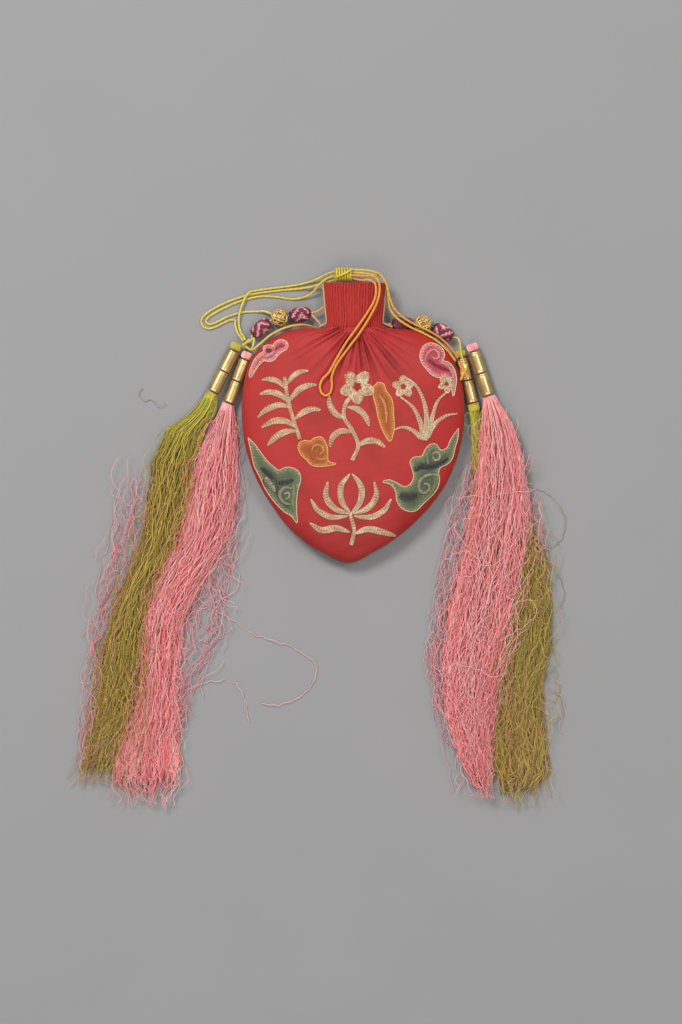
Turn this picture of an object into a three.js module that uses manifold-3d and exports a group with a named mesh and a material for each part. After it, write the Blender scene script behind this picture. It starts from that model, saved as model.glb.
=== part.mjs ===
// A drawstring purse of red silk, lying on its back, with bead strings, tasselled cords and a pleated neck.
// Millimetres. X runs to the right, Y towards the neck, Z up from the surface that the purse lies on.
// The origin is on the flat of the back, below the middle of the heart-shaped bag.
import * as THREE from 'three'
import Module from 'manifold-3d'
import { mergeVertices } from 'three/addons/utils/BufferGeometryUtils.js'

const wasm = await Module()
wasm.setup()

// Driving dimensions of the bag
const bagHalfWidth = 50
const bagHeight = 105.7
const shoulderLine = 52.4
const neckHeight = 19.8
const neckHalfWidth = 12.8
const neckOffset = 1.2
const neckHalfDepth = 5.8
const seamHeight = 7
const seamGap = 0.3
const frontCrown = 10.5
const backCrown = 10.5
const silkWall = 1.4
const pleatCount = 14
const pleatDepth = 0.9

// Driving dimensions of the trimmings
const sideMargin = 6
const clearance = 0.3
const pipingDiameter = 1
const cordDiameter = 1.1
const cordSides = 8
const threadDiameter = 1
const threadBore = 1.8
const silkBeadLength = 0.2742 * (bagHalfWidth - neckHalfWidth)
const silkBeadRadius = 2.8
const goldBeadLength = 0.1989 * (bagHalfWidth - neckHalfWidth)
const goldBeadRadius = 3.8
const beadHeight = 4.1
const beadSides = 10
const topKnotLength = 0.617 * neckHalfWidth
const topKnotRadius = 3.3
const tasselKnotRadius = 2.6
const tasselKnotLength = 5.2
const ferruleRadius = 2.95
const ferruleLength = 10.1
const ferruleLip = 0.35
const ferruleSides = 10
const knotSides = 8
const knobRadius = 2.5
const knobLength = 3.8
const skirtHalfWidth = 13
const skirtHeight = 8
const thinSkirtShare = 0.6
const skirtHeadLength = 4.2
const skirtHeadRadius = 2.9
const lockSlot = 0.35
const lockCount = 5
const lockWave = 0.12
const lockWaveTurns = 0.31
const lockTipWidth = 0.35
const lockTipHeight = 0.45
const lockShortening = 0.045
const sagLength = 10

const red = { color: 0xc23a34, roughness: 0.6, metalness: 0 }
const cream = { color: 0xd9c27c, roughness: 0.7, metalness: 0 }
const yellow = { color: 0xc9a63a, roughness: 0.7, metalness: 0 }
const maroon = { color: 0x6b1f38, roughness: 0.7, metalness: 0 }
const goldSilk = { color: 0xb9984e, roughness: 0.6, metalness: 0.1 }
const brass = { color: 0xb09150, roughness: 0.35, metalness: 0.9 }
const pink = { color: 0xe08090, roughness: 0.7, metalness: 0 }
const green = { color: 0x8e8434, roughness: 0.7, metalness: 0 }

const purse = new THREE.Group()

function addPiece(name, geometry, finish) {
  const mesh = new THREE.Mesh(geometry, new THREE.MeshStandardMaterial(finish))
  mesh.name = name
  purse.add(mesh)
  return mesh
}

function bareGeometry(geometry) {
  geometry.deleteAttribute('normal')
  geometry.deleteAttribute('uv')
  return mergeVertices(geometry, 1e-4)
}

function toSolid(geometry) {
  const bare = bareGeometry(geometry)
  const vertProperties = new Float32Array(bare.attributes.position.array)
  const triVerts = new Uint32Array(bare.index.array)
  return new wasm.Manifold(new wasm.Mesh({ numProp: 3, vertProperties, triVerts }))
}

function toGeometry(solid) {
  const mesh = solid.getMesh()
  const geometry = new THREE.BufferGeometry()
  geometry.setAttribute('position', new THREE.BufferAttribute(mesh.vertProperties, 3))
  geometry.setIndex(new THREE.BufferAttribute(mesh.triVerts, 1))
  geometry.computeVertexNormals()
  return geometry
}

// A closed body between an outer and an inner sheet of points, both in rows of the same length.
// The sheets face apart, and their borders are joined. Where the rows are rings, only their ends are.
function shellBetween(outer, inner, ring = false) {
  const rows = outer.length
  const columns = outer[0].length
  const positions = [...outer.flat(), ...inner.flat()].flatMap((point) => [point.x, point.y, point.z])
  const index = []
  const at = (sheet, i, j) => (sheet * rows + i) * columns + (j % columns)
  const face = (a, b, c, d) => index.push(a, b, c, a, c, d)
  const steps = ring ? columns : columns - 1
  for (let i = 0; i < rows - 1; i += 1) {
    for (let j = 0; j < steps; j += 1) {
      face(at(0, i, j), at(0, i + 1, j), at(0, i + 1, j + 1), at(0, i, j + 1))
      face(at(1, i, j), at(1, i, j + 1), at(1, i + 1, j + 1), at(1, i + 1, j))
    }
    if (!ring) {
      face(at(0, i, 0), at(1, i, 0), at(1, i + 1, 0), at(0, i + 1, 0))
      face(at(0, i, steps), at(0, i + 1, steps), at(1, i + 1, steps), at(1, i, steps))
    }
  }
  for (let j = 0; j < steps; j += 1) {
    const end = rows - 1
    face(at(0, 0, j), at(0, 0, j + 1), at(1, 0, j + 1), at(1, 0, j))
    face(at(0, end, j), at(1, end, j), at(1, end, j + 1), at(0, end, j + 1))
  }
  const geometry = new THREE.BufferGeometry()
  geometry.setAttribute('position', new THREE.Float32BufferAttribute(positions, 3))
  geometry.setIndex(index)
  geometry.computeVertexNormals()
  return geometry
}

// Sections of the bag from the mouth to the tip. Each runs from the left edge to the right edge.
// In the neck, left and right are shares of neckHalfWidth and the drops are shares of neckHeight above
// the shoulder line. In the heart they are shares of bagHalfWidth and of bagHeight below that line.
// The collar section is the edge of the heart's silk, just below the neck.
// Middle is the drop on the centre line, puff the share of the crown and pleat the share of pleatDepth.
const neckSections = [
  { left: -1.05, right: 1.05, rise: 1, puff: 1, pleat: 1 },
  { left: -0.98, right: 0.98, rise: 0.52, puff: 0.94, pleat: 1 },
  { left: -0.92, right: 0.92, rise: 0.115, puff: 1, pleat: 1.15 },
]
const collarSection = { left: -0.93, right: 0.93, rise: 0.1, puff: 1.02, pleat: 1.2 }
const heartSections = [
  { left: -0.29, leftDrop: 0.004, right: 0.36, rightDrop: 0.004, middle: 0.035, puff: 0.63, pleat: 1.35 },
  { left: -0.424, leftDrop: 0.001, right: 0.522, rightDrop: 0.009, middle: 0.075, puff: 0.75, pleat: 1.35 },
  { left: -0.558, leftDrop: 0.012, right: 0.658, rightDrop: 0.029, middle: 0.12, puff: 0.85, pleat: 1.1 },
  { left: -0.694, leftDrop: 0.038, right: 0.766, rightDrop: 0.06, middle: 0.172, puff: 0.92, pleat: 0.75 },
  { left: -0.81, leftDrop: 0.077, right: 0.86, rightDrop: 0.1, middle: 0.228, puff: 0.97, pleat: 0.4 },
  { left: -0.9, leftDrop: 0.128, right: 0.93, rightDrop: 0.155, middle: 0.293, puff: 1, pleat: 0.15 },
  { left: -0.956, leftDrop: 0.198, right: 0.978, rightDrop: 0.212, middle: 0.365, puff: 1, pleat: 0 },
  { left: -0.988, leftDrop: 0.3, right: 1.01, rightDrop: 0.31, middle: 0.462, puff: 0.99, pleat: 0 },
  { left: -0.984, leftDrop: 0.42, right: 1.003, rightDrop: 0.42, middle: 0.57, puff: 0.96, pleat: 0 },
  { left: -0.943, leftDrop: 0.535, right: 0.955, rightDrop: 0.535, middle: 0.675, puff: 0.92, pleat: 0 },
  { left: -0.853, leftDrop: 0.65, right: 0.86, rightDrop: 0.65, middle: 0.77, puff: 0.85, pleat: 0 },
  { left: -0.73, leftDrop: 0.75, right: 0.72, rightDrop: 0.75, middle: 0.845, puff: 0.76, pleat: 0 },
  { left: -0.585, leftDrop: 0.842, right: 0.535, rightDrop: 0.842, middle: 0.902, puff: 0.64, pleat: 0 },
  { left: -0.42, leftDrop: 0.913, right: 0.345, rightDrop: 0.913, middle: 0.946, puff: 0.5, pleat: 0 },
  { left: -0.306, leftDrop: 0.946, right: 0.226, rightDrop: 0.946, middle: 0.976, puff: 0.34, pleat: 0 },
  { left: -0.198, leftDrop: 0.973, right: 0.13, rightDrop: 0.97, middle: 1, puff: 0, pleat: 0 },
]
const edgeRoundness = 2.6

function bagSections(crown) {
  const sections = []
  for (const row of [...neckSections, collarSection]) {
    const y = shoulderLine + row.rise * neckHeight
    sections.push({
      left: new THREE.Vector2(neckOffset + row.left * neckHalfWidth, y),
      right: new THREE.Vector2(neckOffset + row.right * neckHalfWidth, y),
      middle: y,
      depth: row.puff * neckHalfDepth,
      pleat: row.pleat * pleatDepth,
    })
  }
  for (const row of heartSections) {
    sections.push({
      left: new THREE.Vector2(row.left * bagHalfWidth, shoulderLine - row.leftDrop * bagHeight),
      right: new THREE.Vector2(row.right * bagHalfWidth, shoulderLine - row.rightDrop * bagHeight),
      middle: shoulderLine - row.middle * bagHeight,
      depth: row.puff * crown,
      pleat: row.pleat * pleatDepth,
    })
  }
  return sections
}

// The seam line moved inwards by the silk's thickness, or outwards where the inset is negative
function insetSeam(sections, side, inset) {
  const last = sections.length - 1
  const turn = side === 'left' ? 1 : -1
  return sections.map((section, i) => {
    const before = i === 0 ? section[side].clone().setY(section[side].y + 1) : sections[i - 1][side]
    const tip = new THREE.Vector2(0.5 * (section.left.x + section.right.x), section.middle)
    const after = i === last ? tip : sections[i + 1][side]
    const along = after.clone().sub(before).normalize()
    return section[side].clone().add(new THREE.Vector2(-along.y, along.x).multiplyScalar(turn * inset))
  })
}

// One sheet of the bag from the first to the last of the given sections, edge to edge.
// Its height is measured from the seam, outwards through the silk.
function bagSheet(crown, inset, first, last) {
  const sections = bagSections(crown)
  const left = insetSeam(sections, 'left', inset)
  const right = insetSeam(sections, 'right', inset)
  const tip = sections.length - 1
  const columns = 2 * pleatCount
  const sheet = []
  for (let i = first; i <= last; i += 1) {
    const section = sections[i]
    const middle = section.middle + (i === tip ? inset : 0)
    const depth = Math.max(0, section.depth - (i === tip ? 0 : inset))
    const row = []
    for (let j = 0; j <= columns; j += 1) {
      const share = (2 * j) / columns - 1
      const side = share < 0 ? left[i] : right[i]
      const x = 0.5 * (left[i].x + right[i].x) + 0.5 * share * (right[i].x - left[i].x)
      const y = middle + (side.y - middle) * share * share
      const round = Math.sqrt(1 - Math.abs(share) ** edgeRoundness)
      const ridge = inset === 0 && j % 2 === 1 ? section.pleat : 0
      row.push(new THREE.Vector3(x, y, depth * round + ridge))
    }
    sheet.push(row)
  }
  return sheet
}

const neckBase = neckSections.length - 1
const heartTop = neckSections.length
const heartTip = heartTop + heartSections.length

function frontPanel() {
  const lift = (sheet) => sheet.map((row) => row.map((point) => point.clone().setZ(
    seamHeight + 0.5 * seamGap + point.z)))
  const outer = bagSheet(frontCrown, 0, heartTop, heartTip)
  const inner = bagSheet(frontCrown, silkWall, heartTop, heartTip)
  return shellBetween(lift(outer), lift(inner))
}

// The back hangs below the seam and is pressed flat where the purse lies on it
function backPanel() {
  const drop = (sheet, floor) => sheet.map((row) => row.map((point) => point.clone().setZ(
    Math.max(floor, seamHeight - 0.5 * seamGap - point.z))).reverse())
  const outer = bagSheet(backCrown, 0, heartTop, heartTip)
  const inner = bagSheet(backCrown, silkWall, heartTop, heartTip)
  return shellBetween(drop(outer, 0), drop(inner, silkWall))
}

// The gathered neck is a flat tube: its front and back are one ring of pleats, open at the mouth
function pleatedNeck() {
  const around = (inset) => bagSheet(frontCrown, inset, 0, neckBase).map((row) => {
    const front = row.map((point) => point.clone().setZ(seamHeight + point.z))
    const back = row.slice(1, -1).map((point) => point.clone().setZ(seamHeight - point.z)).reverse()
    return [...front, ...back]
  })
  return shellBetween(around(0), around(silkWall), true)
}

addPiece('front_panel', frontPanel(), red)
addPiece('back_panel', backPanel(), red)
addPiece('pleated_neck', pleatedNeck(), red)

// A route through chosen points, with one step of its tube for each stretch between them
class Route extends THREE.CatmullRomCurve3 {
  getPointAt(share, target) {
    return this.getPoint(share, target)
  }
  getTangentAt(share, target) {
    return this.getTangent(share, target)
  }
}

function tube(points, diameter, sides) {
  const section = new THREE.Shape()
  for (let k = 0; k < sides; k += 1) {
    const angle = (2 * Math.PI * k) / sides
    const x = 0.5 * diameter * Math.cos(angle)
    const y = 0.5 * diameter * Math.sin(angle)
    if (k === 0) section.moveTo(x, y)
    else section.lineTo(x, y)
  }
  section.closePath()
  const route = new Route(points.map(([x, y, z]) => new THREE.Vector3(x, y, z)), false, 'centripetal')
  return new THREE.ExtrudeGeometry(section, { steps: points.length - 1, bevelEnabled: false, extrudePath: route })
}

// A turned form about the Y axis, from rows of radius and place along it, then laid along a direction
function turned(profile, sides, centre, direction) {
  const geometry = new THREE.LatheGeometry(profile.map(([r, y]) => new THREE.Vector2(r, y)), sides)
  const turn = new THREE.Quaternion().setFromUnitVectors(new THREE.Vector3(0, 1, 0), direction.clone().normalize())
  geometry.applyQuaternion(turn)
  geometry.translate(centre.x, centre.y, centre.z)
  return geometry
}

// The piping that covers the seam at each side of the neck
function neckPiping(side) {
  const sections = bagSections(frontCrown)
  const outward = clearance + 0.5 * pipingDiameter
  const collar = neckSections.length
  const seam = insetSeam(sections, side, -outward).filter((_, i) => i < collar || i === collar + 1)
  return tube(seam.map((point) => [point.x, point.y, seamHeight]), pipingDiameter, cordSides)
}

addPiece('neck_piping_left', neckPiping('left'), cream)
addPiece('neck_piping_right', neckPiping('right'), cream)

// A spot among the trimmings, as shares of the bag's sizes.
// Across: to 1 is the neck's half width, to 2 reaches sideMargin short of the bag's side, then steps of sideMargin.
// Up: steps of neckHeight from the shoulder line. High: to 1 is the seam's height, then steps of frontCrown.
function spot([across, up, high]) {
  const share = Math.abs(across)
  const nearSide = bagHalfWidth - sideMargin
  const inNeck = Math.min(share, 1) * neckHalfWidth
  const onShoulder = THREE.MathUtils.clamp(share - 1, 0, 1) * (nearSide - neckHalfWidth)
  const beyond = Math.max(0, share - 2) * sideMargin
  const x = Math.sign(across) * (inNeck + onShoulder + beyond)
  const z = Math.min(high, 1) * seamHeight + Math.max(0, high - 1) * frontCrown
  return [x, shoulderLine + up * neckHeight, z]
}

// Knots are round lumps of cord
function knotProfile(radius, length) {
  return [
    [0, -0.5 * length],
    [0.72 * radius, -0.46 * length],
    [radius, -0.22 * length],
    [radius, 0.22 * length],
    [0.72 * radius, 0.46 * length],
    [0, 0.5 * length],
  ]
}

const topKnotCentre = new THREE.Vector3(...spot([-0.293, 1.202, 1.057]))
const leftKnotCentre = new THREE.Vector3(...spot([-2.467, -0.348, 0.514]))
const rightKnotCentre = new THREE.Vector3(...spot([3.067, -1.061, 1.305]))
const acrossX = new THREE.Vector3(1, 0, 0)
addPiece('top_knot', turned(knotProfile(topKnotRadius, topKnotLength), knotSides, topKnotCentre, acrossX), yellow)
addPiece('left_tassel_knot', turned(knotProfile(tasselKnotRadius, tasselKnotLength), knotSides,
  leftKnotCentre, new THREE.Vector3(1, 1, 0)), yellow)
addPiece('right_tassel_knot', turned(knotProfile(0.7 * tasselKnotRadius, 1.5 * tasselKnotLength), knotSides,
  rightKnotCentre, new THREE.Vector3(0.15, 1, 0)), yellow)

// Routes of the cords, as chosen spots: across, up and high
const cordRoutes = {
  cord_left_outer: [
    [-0.633, 1.081, 0.886], [-0.805, 1.056, 0.8], [-1.035, 1.01, 0.629], [-1.167, 0.949, 0.4],
    [-1.311, 0.914, 0.214], [-1.571, 0.879, 0.1], [-1.83, 0.833, 0.1], [-2.433, 0.768, 0.1],
    [-3.667, 0.652, 0.1], [-4.883, 0.485, 0.1], [-5.717, 0.318, 0.1], [-6, 0.182, 0.1],
    [-5.867, 0.056, 0.1], [-5.467, 0, 0.1], [-4.983, 0.035, 0.1], [-3.85, 0.192, 0.1],
    [-3.483, 0.187, 0.1], [-3.433, 0.061, 0.1], [-3.25, -0.106, 0.143], [-2.983, -0.222, 0.286],
  ],
  cord_left_inner: [
    [-0.633, 1.172, 1.038], [-0.859, 1.121, 1], [-1.058, 0.99, 0.857], [-1.144, 0.833, 0.514],
    [-1.253, 0.727, 0.257], [-1.452, 0.672, 0.1], [-1.657, 0.717, 0.1], [-1.913, 0.732, 0.1],
    [-3.167, 0.616, 0.1], [-4.667, 0.409, 0.1], [-5.5, 0.253, 0.1], [-5.65, 0.172, 0.1],
    [-5.417, 0.101, 0.1], [-5.017, 0.126, 0.1], [-3.9, 0.288, 0.1], [-2.767, 0.379, 0.1],
    [-1.955, 0.389, 0.114], [-1.865, 0.389, 0.257], [-1.795, 0.354, 0.429],
  ],
  cord_left_drop: [
    [-0.633, 1.273, 0.886], [-0.891, 1.222, 0.657], [-1.09, 1.121, 0.371], [-1.25, 1.04, 0.171],
    [-1.484, 0.97, 0.1], [-1.744, 0.919, 0.1], [-1.968, 0.869, 0.129], [-2.333, 0.833, 0.229],
    [-2.633, 0.737, 0.314], [-2.817, 0.616, 0.314], [-3, 0.475, 0.257], [-3.1, 0.364, 0.314],
    [-3.167, 0.212, 0.229], [-3.15, 0.051, 0.171], [-3.017, -0.091, 0.343], [-2.817, -0.192, 0.529],
  ],
  cord_left_shoulder: [
    [-2.1, -0.505, 0.7], [-1.974, -0.449, 0.943], [-1.901, -0.348, 1.048], [-1.737, -0.141, 1.057],
    [-1.538, 0.005, 1.048], [-1.34, 0.071, 0.914], [-1.218, 0.061, 0.629], [-1.099, 0, 0.286],
  ],
  cord_front_loop: [
    [0.039, 1.106, 1.152], [0.312, 1.056, 1.4], [0.617, 1.051, 1.61], [0.797, 0.97, 1.686],
    [0.836, 0.788, 1.686], [0.766, 0.586, 1.686], [0.547, 0.333, 1.714], [0.172, -0.02, 1.819],
    [-0.227, -0.384, 1.981], [-0.539, -0.727, 2.076], [-0.797, -1.03, 2.105], [-1.016, -1.202, 2.124],
    [-1.048, -1.348, 2.124], [-1.026, -1.5, 2.124], [-0.914, -1.566, 2.124], [-0.766, -1.5, 2.124],
    [-0.703, -1.348, 2.124], [-0.68, -1.152, 2.124], [-0.5, -0.859, 2.095], [-0.156, -0.525, 2.019],
    [0.266, -0.141, 1.857], [0.625, 0.232, 1.724], [0.875, 0.556, 1.686], [0.961, 0.818, 1.686],
    [0.922, 1.02, 1.686], [0.758, 1.131, 1.61], [0.422, 1.157, 1.381], [0.039, 1.177, 1.229],
  ],
  cord_right_outer: [
    [0.039, 1.308, 1.114], [0.352, 1.298, 1.267], [0.703, 1.263, 1.419], [1.013, 1.152, 1.495],
    [1.09, 0.939, 1.419], [1.128, 0.697, 1.229], [1.186, 0.465, 1.133], [1.301, 0.263, 1.086],
    [1.487, 0.076, 1.133], [1.686, -0.071, 1.133], [1.853, -0.227, 1.076], [2, -0.444, 1.095],
    [2.6, -0.697, 1.21],
  ],
  cord_right_inner: [
    [0.039, 1.237, 1.095], [0.352, 1.227, 1.229], [0.688, 1.192, 1.305], [1.019, 1.141, 1.343],
    [1.096, 0.949, 1.248], [1.112, 0.687, 1.114], [1.144, 0.404, 0.986], [1.256, 0.182, 1.171],
    [1.442, -0.005, 1.229], [1.647, -0.157, 1.248], [1.821, -0.318, 1.267], [1.962, -0.525, 1.286],
    [2.4, -0.768, 1.343],
  ],
}
for (const [name, points] of Object.entries(cordRoutes)) {
  addPiece(name, tube(points.map(spot), cordDiameter, cordSides), yellow)
}

// A bead drilled for its thread: a rounded ring profile that closes on itself
function beadProfile(radius, length) {
  const bore = 0.5 * threadBore
  const half = 0.5 * length
  return [
    [bore, -half],
    [0.64 * radius, -half],
    [radius, -0.5 * half],
    [radius, 0.5 * half],
    [0.64 * radius, half],
    [bore, half],
    [bore, -half],
  ]
}

// Each string of beads, from the neck outwards: the spot of the bead's middle and the heading of its hole
const beadStrings = {
  left: {
    start: [[-1.071, 0.394, 0.657]],
    beads: [
      { name: 'inner', kind: 'silk', across: -1.34, up: 0.313, heading: 187 },
      { name: 'gold', kind: 'gold', across: -1.635, up: 0.242, heading: 196 },
      { name: 'outer', kind: 'silk', across: -1.904, up: 0, heading: 218 },
    ],
    end: [[-2.233, -0.197, 0.586]],
  },
  right: {
    start: [[1.109, 0.096, 0.586]],
    beads: [
      { name: 'inner', kind: 'silk', across: 1.321, up: 0.096, heading: 0 },
      { name: 'gold', kind: 'gold', across: 1.619, up: 0.086, heading: -10 },
      { name: 'outer', kind: 'silk', across: 1.904, up: -0.081, heading: -29 },
    ],
    end: [[2.567, -0.227, 0.643], [2.75, -0.343, 0.786], [2.8, -0.525, 0.943], [2.9, -0.677, 1.095], [3.067, -0.818, 1.257]],
  },
}
for (const [side, string] of Object.entries(beadStrings)) {
  const route = string.start.map(spot)
  for (const bead of string.beads) {
    const length = bead.kind === 'gold' ? goldBeadLength : silkBeadLength
    const radius = bead.kind === 'gold' ? goldBeadRadius : silkBeadRadius
    const angle = THREE.MathUtils.degToRad(bead.heading)
    const direction = new THREE.Vector3(Math.cos(angle), Math.sin(angle), 0)
    const centre = new THREE.Vector3(...spot([bead.across, bead.up, 0])).setZ(beadHeight)
    addPiece(`${side}_bead_${bead.name}`, turned(beadProfile(radius, length), beadSides, centre, direction),
      bead.kind === 'gold' ? goldSilk : maroon)
    for (const share of [-0.45, 0, 0.45]) {
      const point = centre.clone().addScaledVector(direction, share * length)
      route.push([point.x, point.y, point.z])
    }
  }
  route.push(...string.end.map(spot))
  addPiece(`${side}_bead_thread`, tube(route, threadDiameter, 6), maroon)
}

// A wound ferrule: a barrel with rounded ends
function ferruleProfile() {
  const half = 0.5 * ferruleLength
  return [
    [0, -half],
    [ferruleRadius - ferruleLip, -half],
    [ferruleRadius, -half + ferruleLip],
    [ferruleRadius, half - ferruleLip],
    [ferruleRadius - ferruleLip, half],
    [0, half],
  ]
}

// Tassels: top is the spot where the upper ferrule begins, raised by a share of ferruleRadius.
// Heading is the way the ferrules point in plan.
// Skirt rows run away from the head: along and aside are shares of the skirt's length, along straight
// down the page and aside to the right, and wide is a share of skirtHalfWidth.
const tassels = {
  left_green: {
    top: { across: -3.55, up: -0.52, raised: 1.068 }, heading: -116.7, length: 173.5, finish: green, phase: 0.1,
    skirt: [
      { along: 0, aside: 0, wide: 0.21 },
      { along: 0.04, aside: -0.025, wide: 0.34 },
      { along: 0.1, aside: -0.068, wide: 0.58 },
      { along: 0.2, aside: -0.11, wide: 0.7 },
      { along: 0.33, aside: -0.143, wide: 0.64 },
      { along: 0.45, aside: -0.189, wide: 0.7 },
      { along: 0.6, aside: -0.228, wide: 0.68 },
      { along: 0.75, aside: -0.244, wide: 0.67 },
      { along: 0.9, aside: -0.275, wide: 0.63 },
      { along: 1, aside: -0.306, wide: 0.42 },
    ],
  },
  left_pink: {
    top: { across: -2.7, up: -0.727, raised: 1.068 }, heading: -110.9, length: 178, finish: pink, phase: 0.6,
    skirt: [
      { along: 0, aside: 0, wide: 0.21 },
      { along: 0.03, aside: -0.007, wide: 0.38 },
      { along: 0.1, aside: -0.022, wide: 0.56 },
      { along: 0.2, aside: -0.04, wide: 0.75 },
      { along: 0.33, aside: -0.065, wide: 0.89 },
      { along: 0.5, aside: -0.124, wide: 0.9 },
      { along: 0.62, aside: -0.153, wide: 0.83 },
      { along: 0.72, aside: -0.17, wide: 0.73 },
      { along: 0.85, aside: -0.188, wide: 0.86 },
      { along: 0.95, aside: -0.203, wide: 0.97 },
      { along: 1, aside: -0.204, wide: 0.76 },
    ],
  },
  right_green: {
    top: { across: 2.867, up: -0.692, raised: 1.068 }, heading: -75.4, length: 176.3, finish: green, phase: 0.35,
    thin: true,
    skirt: [
      { along: 0, aside: 0, wide: 0.21 },
      { along: 0.066, aside: 0.004, wide: 0.28 },
      { along: 0.15, aside: 0.02, wide: 0.37 },
      { along: 0.25, aside: 0.055, wide: 0.52 },
      { along: 0.372, aside: 0.103, wide: 0.66 },
      { along: 0.5, aside: 0.133, wide: 0.64 },
      { along: 0.65, aside: 0.129, wide: 0.66 },
      { along: 0.8, aside: 0.11, wide: 0.8 },
      { along: 0.93, aside: 0.113, wide: 0.92 },
      { along: 1, aside: 0.116, wide: 0.69 },
    ],
  },
  right_pink: {
    top: { across: 3.817, up: -0.545, raised: 1.492 }, heading: -71.6, length: 176.8, finish: pink, phase: 0.85,
    thin: true, over: 'right_green',
    skirt: [
      { along: 0, aside: 0, wide: 0.21 },
      { along: 0.03, aside: 0.007, wide: 0.39 },
      { along: 0.08, aside: 0.019, wide: 0.6 },
      { along: 0.16, aside: 0.028, wide: 0.87 },
      { along: 0.28, aside: 0.024, wide: 1.08 },
      { along: 0.42, aside: 0.005, wide: 1.13 },
      { along: 0.567, aside: -0.024, wide: 1.09 },
      { along: 0.67, aside: -0.039, wide: 1.07 },
      { along: 0.78, aside: -0.051, wide: 0.85 },
      { along: 0.9, aside: -0.048, wide: 0.6 },
      { along: 1, aside: -0.018, wide: 0.35 },
    ],
  },
}

function tasselDirection(tassel) {
  const angle = THREE.MathUtils.degToRad(tassel.heading)
  return new THREE.Vector3(Math.cos(angle), Math.sin(angle), 0)
}

function alongTassel(tassel, distance) {
  const { across, up, raised } = tassel.top
  const top = new THREE.Vector3(...spot([across, up, 0])).setZ(raised * ferruleRadius)
  return top.addScaledVector(tasselDirection(tassel), distance)
}

// Where the skirt leaves its head, on the axis of the ferrules
function skirtRoot(tassel) {
  return alongTassel(tassel, 2 * ferruleLength + 2 * clearance + 0.6 * skirtHeadLength)
}

function skirtRows(tassel) {
  const root = skirtRoot(tassel)
  return tassel.skirt.map((row) => ({
    x: root.x + row.aside * tassel.length,
    y: root.y - row.along * tassel.length,
    wide: row.wide * skirtHalfWidth,
  }))
}

// How far a lock is lifted where another skirt lies under it, sagging to the surface beside that skirt
function liftOver(tassel, x, y) {
  if (!tassel.over) return 0
  const full = thinSkirtShare * skirtHeight + 2 * clearance
  const rows = skirtRows(tassels[tassel.over])
  const next = rows.findIndex((row) => row.y <= y)
  if (next <= 0) return full
  const before = rows[next - 1]
  const after = rows[next]
  const share = (before.y - y) / (before.y - after.y)
  const middle = before.x + share * (after.x - before.x)
  const wide = before.wide + share * (after.wide - before.wide)
  const cover = (wide + sagLength - Math.abs(x - middle)) / sagLength
  return full * THREE.MathUtils.clamp(cover, 0, 1)
}

// Corners of a lock's section, across its half width and up its height: a flat underside and a ridge
const lockCorners = [
  { across: -1, up: 0 },
  { across: 1, up: 0 },
  { across: 0.82, up: 0.62 },
  { across: 0, up: 1 },
  { across: -0.82, up: 0.62 },
]

// One lock of a skirt: a strip between two wavy lines that run down the skirt
function skirtLock(tassel, k) {
  const rows = skirtRows(tassel)
  const root = skirtRoot(tassel)
  const last = rows.length - 1
  const tallest = skirtHeight * (tassel.thin ? thinSkirtShare : 1)
  const shorter = lockShortening * tassel.length * (0.5 + 0.5 * Math.cos(k * 2.4 + tassel.phase * 9))
  const line = (n, i) => {
    const wavy = n > 0 && n < lockCount ? lockWave : 0
    return (2 * n) / lockCount - 1 + wavy * Math.sin(2 * Math.PI * (lockWaveTurns * i + tassel.phase * (n + 1)))
  }
  const sections = rows.map((row, i) => {
    const y = row.y + (i === last ? shorter : 0)
    const low = row.x + line(k, i) * row.wide + 0.5 * lockSlot
    const high = row.x + line(k + 1, i) * row.wide - 0.5 * lockSlot
    const middle = 0.5 * (low + high)
    const half = 0.5 * (high - low) * (i === last ? lockTipWidth : 1)
    const rounding = Math.sqrt(1 - (0.85 * (middle - row.x) / row.wide) ** 2)
    const height = i === 0 ? 1.6 * skirtHeadRadius : tallest * rounding * (i === last ? lockTipHeight : 1)
    return lockCorners.map(({ across, up }) => {
      const x = middle + across * half
      const foot = i === 0 ? root.z - 0.8 * skirtHeadRadius : liftOver(tassel, x, y)
      return new THREE.Vector3(x, y, foot + up * height)
    })
  })
  return loftSections(sections)
}

// A closed body through sections with the same number of corners
function loftSections(sections) {
  const sides = sections[0].length
  const positions = sections.flat().flatMap((point) => [point.x, point.y, point.z])
  const index = []
  for (let i = 0; i < sections.length - 1; i += 1) {
    for (let s = 0; s < sides; s += 1) {
      const a = i * sides + s
      const b = i * sides + ((s + 1) % sides)
      index.push(a, b + sides, a + sides, a, b, b + sides)
    }
  }
  const end = (sections.length - 1) * sides
  for (let s = 1; s < sides - 1; s += 1) {
    index.push(0, s + 1, s)
    index.push(end, end + s, end + s + 1)
  }
  const geometry = new THREE.BufferGeometry()
  geometry.setAttribute('position', new THREE.Float32BufferAttribute(positions, 3))
  geometry.setIndex(index)
  return geometry
}

function tasselSkirt(tassel) {
  const half = 0.5 * skirtHeadLength
  const profile = [[0, -half], [skirtHeadRadius, -half], [0.94 * skirtHeadRadius, half], [0, half]]
  const centre = alongTassel(tassel, 2 * ferruleLength + 2 * clearance + half)
  let skirt = toSolid(turned(profile, ferruleSides, centre, tasselDirection(tassel)))
  for (let k = 0; k < lockCount; k += 1) skirt = skirt.add(toSolid(skirtLock(tassel, k)))
  return toGeometry(skirt)
}

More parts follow.
